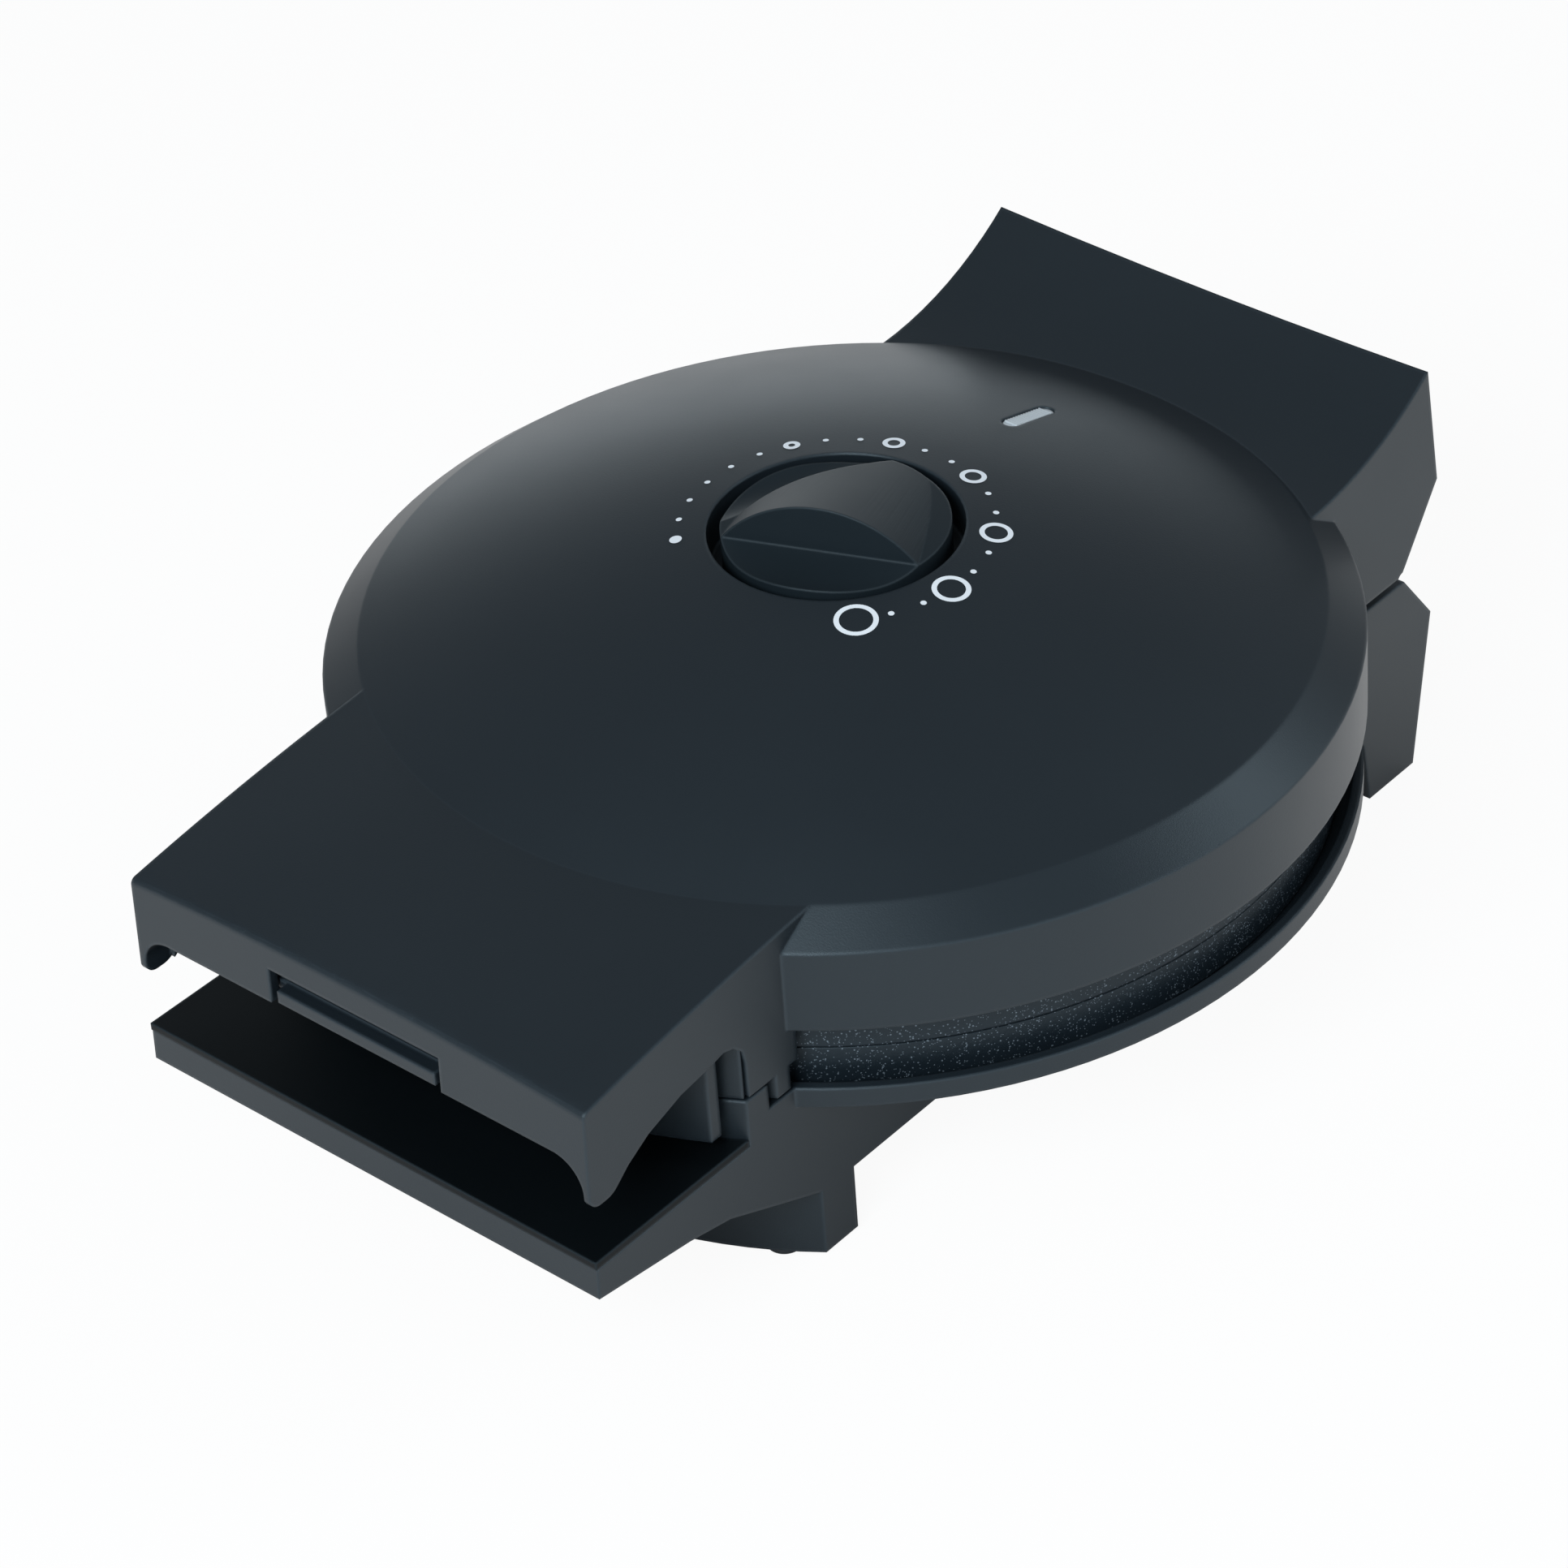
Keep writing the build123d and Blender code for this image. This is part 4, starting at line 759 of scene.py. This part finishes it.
def skin(name, loops):
    """Closed mesh object through loops of equally many points, capped at both ends."""
    bm = bmesh.new()
    rows = [[bm.verts.new(point) for point in loop] for loop in loops]
    size = len(rows[0])
    for low_row, high_row in zip(rows, rows[1:]):
        for i in range(size):
            j = (i + 1) % size
            bm.faces.new((low_row[i], low_row[j], high_row[j], high_row[i]))
    bm.faces.new(reversed(rows[0]))
    bm.faces.new(rows[-1])
    bmesh.ops.recalc_face_normals(bm, faces=bm.faces)
    mesh = bpy.data.meshes.new(name)
    bm.to_mesh(mesh)
    bm.free()
    made = bpy.data.objects.new(name, mesh)
    bpy.context.scene.collection.objects.link(made)
    return made


def prism(name, section, across, depth):
    """Section swept both ways along a direction."""
    return skin(name, [[point + across * side * depth for point in section] for side in (-1, 1)])


def arc_points(centre, radius, first_deg, last_deg, steps):
    """Points of an arc as (a, b) pairs."""
    span = last_deg - first_deg
    turns = [math.radians(first_deg + span * i / steps) for i in range(steps + 1)]
    return [(centre[0] + radius * math.cos(t), centre[1] + radius * math.sin(t)) for t in turns]


def arc_through(half_chord, low_z, top_z, steps):
    """Points of an arc over a chord, from -half_chord to half_chord, as (a, z) pairs."""
    rise_z = top_z - low_z
    radius = (half_chord**2 + rise_z**2) / (2 * rise_z)
    swing = math.degrees(math.asin(half_chord / radius))
    if rise_z > half_chord:
        swing = 180 - swing
    return arc_points((0, top_z - radius), radius, 90 + swing, 90 - swing, steps)


def carved(name, base, steps, body, finish, *nodes, smooth=True):
    """Runs Booleans on a skin and keeps a plain mesh that stands for the given nodes."""
    for operation, other in steps:
        modifier = base.modifiers.new(operation.lower(), "BOOLEAN")
        modifier.operation = operation
        modifier.solver = "EXACT"
        modifier.object = other
    bpy.context.view_layer.update()
    evaluated = base.evaluated_get(bpy.context.evaluated_depsgraph_get())
    mesh = bpy.data.meshes.new_from_object(evaluated)
    for spent in [base] + [other for _, other in steps]:
        bpy.data.objects.remove(spent)
    mesh.name = name
    mesh.materials.clear()
    mesh.materials.append(finish)
    for face in mesh.polygons:
        face.material_index = 0
        face.use_smooth = smooth
    if smooth:
        mesh.set_sharp_from_angle(angle=math.radians(SHARP_FROM_DEG))
    piece = bpy.data.objects.new(name, mesh)
    bpy.context.scene.collection.objects.link(piece)
    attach(piece, body)
    if nodes:
        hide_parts(*nodes)
    print(name, "faces:", len(mesh.polygons))


print("edges stay sharp from", SHARP_FROM_DEG, "degrees")

# %% [markdown]
# The dial is a disc with a grip across it. The grip is high along the near finger scoop and falls
# straight back to the far rim, so it is a ruled skin between two arcs. Two scoops with upright
# walls and shallow troughs leave it standing, and its tip at their meeting points at the scale.
# Its arcs are so fine that flat faces show none of the streaks that smoothing draws over long
# ruled faces.

# %% Dial
KNOB_R = 28.2 * MM
KNOB_FOOT_Z = 118.5 * MM
KNOB_RIM_Z = 129.0 * MM
KNOB_CROWN = 1.0 * MM
KNOB_ROOT_Z = 124.0 * MM
GRIP_TOP_Z = 141.3 * MM
GRIP_BACK_Z = 129.6 * MM
NEAR_SCOOP = (-68.0, 12.8 * MM)
FAR_SCOOP = (158.0, 15.1 * MM)
SCOOP_DIP = 1.6 * MM
DRUM_INSET = 0.15 * MM
SCOOP_OVERHANG = 2 * MM
SCOOP_HALF_W = 1.3 * KNOB_R
TROUGH_STEPS = 32
RIDGE_STEPS = 120
CROWN_SHARES = (0.9, 0.7, 0.5, 0.3, 0.1)
SHAFT_BORE_R = 3.05 * MM
SHAFT_BORE_Z = 133.1 * MM
KNOB_SIDES = 192


def circle_row(radius, z):
    """Circle round the disc's axis."""
    turns = [2 * math.pi * i / KNOB_SIDES for i in range(KNOB_SIDES)]
    return [Vector((radius * math.cos(t), DISC_Y + radius * math.sin(t), z)) for t in turns]


def dial_frame(turn_deg):
    """Outward and sideways directions of a dial plane."""
    t = math.radians(turn_deg)
    return Vector((math.cos(t), math.sin(t), 0)), Vector((math.sin(t), -math.cos(t), 0))


def dial_place(outward, sideways, reach, a, z):
    """Point at a reach from the dial's axis, a sideways step and a height."""
    return Vector((0, DISC_Y, z)) + outward * reach + sideways * a


def scoop(name, turn_deg, reach):
    """Everything beyond an upright wall, down to a shallow trough."""
    outward, sideways = dial_frame(turn_deg)
    rim = KNOB_R + SCOOP_OVERHANG
    trough = arc_through((rim - reach) / 2, 0, SCOOP_DIP, TROUGH_STEPS)
    section = [(reach, GRIP_TOP_Z + SCOOP_DIP), (rim, GRIP_TOP_Z + SCOOP_DIP)]
    section += [((reach + rim) / 2 - a, KNOB_RIM_Z - z) for a, z in trough]
    places = [dial_place(outward, sideways, r, 0, z) for r, z in section]
    return prism(name, places, sideways, SCOOP_HALF_W)


crown_rows = []
for share in CROWN_SHARES:
    crown_rows.append(circle_row(KNOB_R * share, KNOB_RIM_Z + KNOB_CROWN * (1 - share**2)))
wall_rows = [circle_row(KNOB_R, KNOB_FOOT_Z), circle_row(KNOB_R, KNOB_RIM_Z)]
dial_disc = skin("dial_disc", wall_rows + crown_rows)
drum_r = KNOB_R - DRUM_INSET
drum_rows = [circle_row(drum_r, KNOB_ROOT_Z + MM), circle_row(drum_r, GRIP_TOP_Z + MM)]
dial_drum = skin("dial_drum", drum_rows)
outward, sideways = dial_frame(NEAR_SCOOP[0])
grip_rows = []
for reach, top_z in ((-KNOB_R - MM, GRIP_BACK_Z), (NEAR_SCOOP[1], GRIP_TOP_Z)):
    ridge = arc_through(KNOB_R, KNOB_ROOT_Z, top_z, RIDGE_STEPS)
    grip_rows.append([dial_place(outward, sideways, reach, a, z) for a, z in ridge])
grip = skin("grip", grip_rows)
bore_rows = [circle_row(SHAFT_BORE_R, KNOB_FOOT_Z - MM), circle_row(SHAFT_BORE_R, SHAFT_BORE_Z)]
shaft_bore = skin("shaft_bore", bore_rows)
carved("dial", grip, [
    ("INTERSECT", dial_drum),
    ("UNION", dial_disc),
    ("DIFFERENCE", scoop("near_scoop", *NEAR_SCOOP)),
    ("DIFFERENCE", scoop("far_scoop", *FAR_SCOOP)),
    ("DIFFERENCE", shaft_bore),
], "knob", knob_plastic, "thermostat_knob", smooth=False)

# %% [markdown]
# The lid's handle ends in two narrow lobes that hang at the front corners, and behind its opening
# the inner wall reaches down to the parting line. The lid is carved from a welded copy of its
# solid, and the wall is a bent slab of its own.

# %% Front lobes and inner wall
HANDLE_FRONT_Y = -163.5 * MM
LOBE_BOTTOM_Z = 67.6 * MM
LOBE_BACK_Y = -155.9 * MM
LOBE_SLOPE_DEG = 39.0
LOBE_CUT_Y = -155.2 * MM
GAP_HALF = 70.6 * MM
GAP_TOP_Z = 80.0 * MM
GAP_CORNER_R = 9.0 * MM
TIP_R = 3.6 * MM
TIP_BACK_R = 6.0 * MM
LOBE_MID_X = 68.0 * MM
TIP_CUT_HALF = 8 * MM
CUT_PAST = 0.1 * MM
CORNER_STEPS = 10
TIP_STEPS = 8
WALL_OUT_R = 141.0 * MM
WALL_IN_R = 138.0 * MM
WALL_LOW_Z = 64.5 * MM
WALL_HIGH_Z = 84.0 * MM
WALL_SWING_DEG = 30.3
WALL_STEPS = 24

steps = []
cut_z = LOBE_BOTTOM_Z - MM
cut_y = HANDLE_FRONT_Y - MM
corner_centre = (GAP_HALF - GAP_CORNER_R, GAP_TOP_Z - GAP_CORNER_R)
corner = arc_points(corner_centre, GAP_CORNER_R, 0, 90, CORNER_STEPS)
gap_section = [(corner_centre[0], cut_z), (GAP_HALF, cut_z)] + corner
tip_centre = (HANDLE_FRONT_Y + TIP_R, LOBE_BOTTOM_Z + TIP_R)
front_cut = arc_points(tip_centre, TIP_R, 270, 180, TIP_STEPS)
front_cut += [(cut_y, tip_centre[1]), (cut_y, cut_z), (tip_centre[0], cut_z)]
back_step = TIP_BACK_R * math.tan(math.radians(LOBE_SLOPE_DEG / 2))
back_centre = (LOBE_BACK_Y - back_step, LOBE_BOTTOM_Z + TIP_BACK_R)
back_cut = arc_points(back_centre, TIP_BACK_R, 270, 270 + LOBE_SLOPE_DEG, TIP_STEPS)
back_cut += [(LOBE_BACK_Y + 2 * back_step, cut_z), (back_centre[0], cut_z)]
gap_mid_y = (HANDLE_FRONT_Y + LOBE_CUT_Y) / 2
gap_half_y = (LOBE_CUT_Y - HANDLE_FRONT_Y) / 2 + CUT_PAST
for side in (-1, 1):
    gap = [Vector((side * x, gap_mid_y, z)) for x, z in gap_section]
    steps.append(("DIFFERENCE", prism("gap_cut", gap, Y_AXIS, gap_half_y)))
    for section in (front_cut, back_cut):
        tip = [Vector((side * LOBE_MID_X, y, z)) for y, z in section]
        steps.append(("DIFFERENCE", prism("tip_cut", tip, X_AXIS, TIP_CUT_HALF)))

welded = bmesh.new()
welded.from_mesh(frame["nodes"]["upper_housing"].data)
bmesh.ops.remove_doubles(welded, verts=welded.verts, dist=WELD_REACH)
lid_copy = bpy.data.meshes.new("lid_copy")
welded.to_mesh(lid_copy)
welded.free()
for layer in ("custom_normal", "sharp_edge", "sharp_face"):
    if layer in lid_copy.attributes:
        lid_copy.attributes.remove(lid_copy.attributes[layer])
lid_skin = bpy.data.objects.new("lid_skin", lid_copy)
bpy.context.scene.collection.objects.link(lid_skin)
carved("lid_moulding", lid_skin, steps, "lid", housing_plastic, "upper_housing")

wall_section = [
    (WALL_IN_R, WALL_LOW_Z),
    (WALL_OUT_R, WALL_LOW_Z),
    (WALL_OUT_R, WALL_HIGH_Z),
    (WALL_IN_R, WALL_HIGH_Z),
]
wall_rows = []
for i in range(WALL_STEPS + 1):
    t = math.radians(-90 - WALL_SWING_DEG + 2 * WALL_SWING_DEG * i / WALL_STEPS)
    row = [Vector((r * math.cos(t), DISC_Y + r * math.sin(t), z)) for r, z in wall_section]
    wall_rows.append(row)
carved("inner_wall", skin("inner_wall_skin", wall_rows), [], "lid", housing_plastic)

# %% [markdown]
# The window over the lamp follows the dome, a hair below it, and is ribbed across, which spreads
# the light. The ribs are short round bars in a row along the window. A tree of nodes places them
# along a line.

# %% Window and its ribs
RIB_R = 0.42 * MM
RIB_PITCH = 1.0 * MM
WINDOW_W = 4.4 * MM
WINDOW_L = 17.4 * MM
WINDOW_SINK = 0.45 * MM
RIB_END_GAP = 0.4 * MM
RIB_SIDES = 16
END_STEPS = 14
lens_low, lens_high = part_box("indicator_lens")
window_y = (lens_low.y + lens_high.y) / 2 - DISC_Y
end_step = (WINDOW_L - WINDOW_W) / 2
outline = arc_points((0, end_step), WINDOW_W / 2, 0, 180, END_STEPS)
outline += arc_points((0, -end_step), WINDOW_W / 2, 180, 360, END_STEPS)
foot_row = [Vector((x, y + window_y + DISC_Y, lens_low.z)) for x, y in outline]
top_row = [on_dome(x, y + window_y, -WINDOW_SINK) for x, y in outline]
window_skin = skin("window_skin", [foot_row, top_row])
carved("lamp_window", window_skin, [], "lid", lens_plastic, "indicator_lens")
row_start = on_dome(0, window_y - end_step, -WINDOW_SINK)
row_end = on_dome(0, window_y + end_step, -WINDOW_SINK)
rib_count = int((row_end - row_start).length / RIB_PITCH) + 1

rib_tree, start, end = geometry_tree("window_ribs", [
    ("Count", "NodeSocketInt", rib_count),
    ("Start", VECTOR, (0, 0, 0)),
    ("Step", VECTOR, (0, 0.001, 0)),
    ("Width", FLOAT, WINDOW_W),
    ("Rib Radius", FLOAT, RIB_R),
    ("Finish", "NodeSocketMaterial", None),
])
link = rib_tree.links.new
line = node(rib_tree, "GeometryNodeMeshLine")
link(start.outputs["Count"], line.inputs["Count"])
link(start.outputs["Start"], line.inputs["Start Location"])
link(start.outputs["Step"], line.inputs["Offset"])
rib = node(rib_tree, "GeometryNodeMeshCylinder")
rib.inputs["Vertices"].default_value = RIB_SIDES
link(start.outputs["Rib Radius"], rib.inputs["Radius"])
link(start.outputs["Width"], rib.inputs["Depth"])
row = node(rib_tree, "GeometryNodeInstanceOnPoints")
row.inputs["Rotation"].default_value = (0, math.pi / 2, 0)
link(line.outputs[0], row.inputs["Points"])
link(rib.outputs["Mesh"], row.inputs["Instance"])
real = node(rib_tree, "GeometryNodeRealizeInstances")
link(row.outputs[0], real.inputs[0])
paint = node(rib_tree, "GeometryNodeSetMaterial")
link(real.outputs[0], paint.inputs["Geometry"])
link(start.outputs["Finish"], paint.inputs["Material"])
link(paint.outputs[0], end.inputs[0])
grown("window_ribs", rib_tree, {
    "Count": rib_count,
    "Start": tuple(row_start),
    "Step": tuple((row_end - row_start) / (rib_count - 1)),
    "Width": WINDOW_W - RIB_END_GAP,
    "Finish": lens_plastic,
}, "lid", lens_plastic)
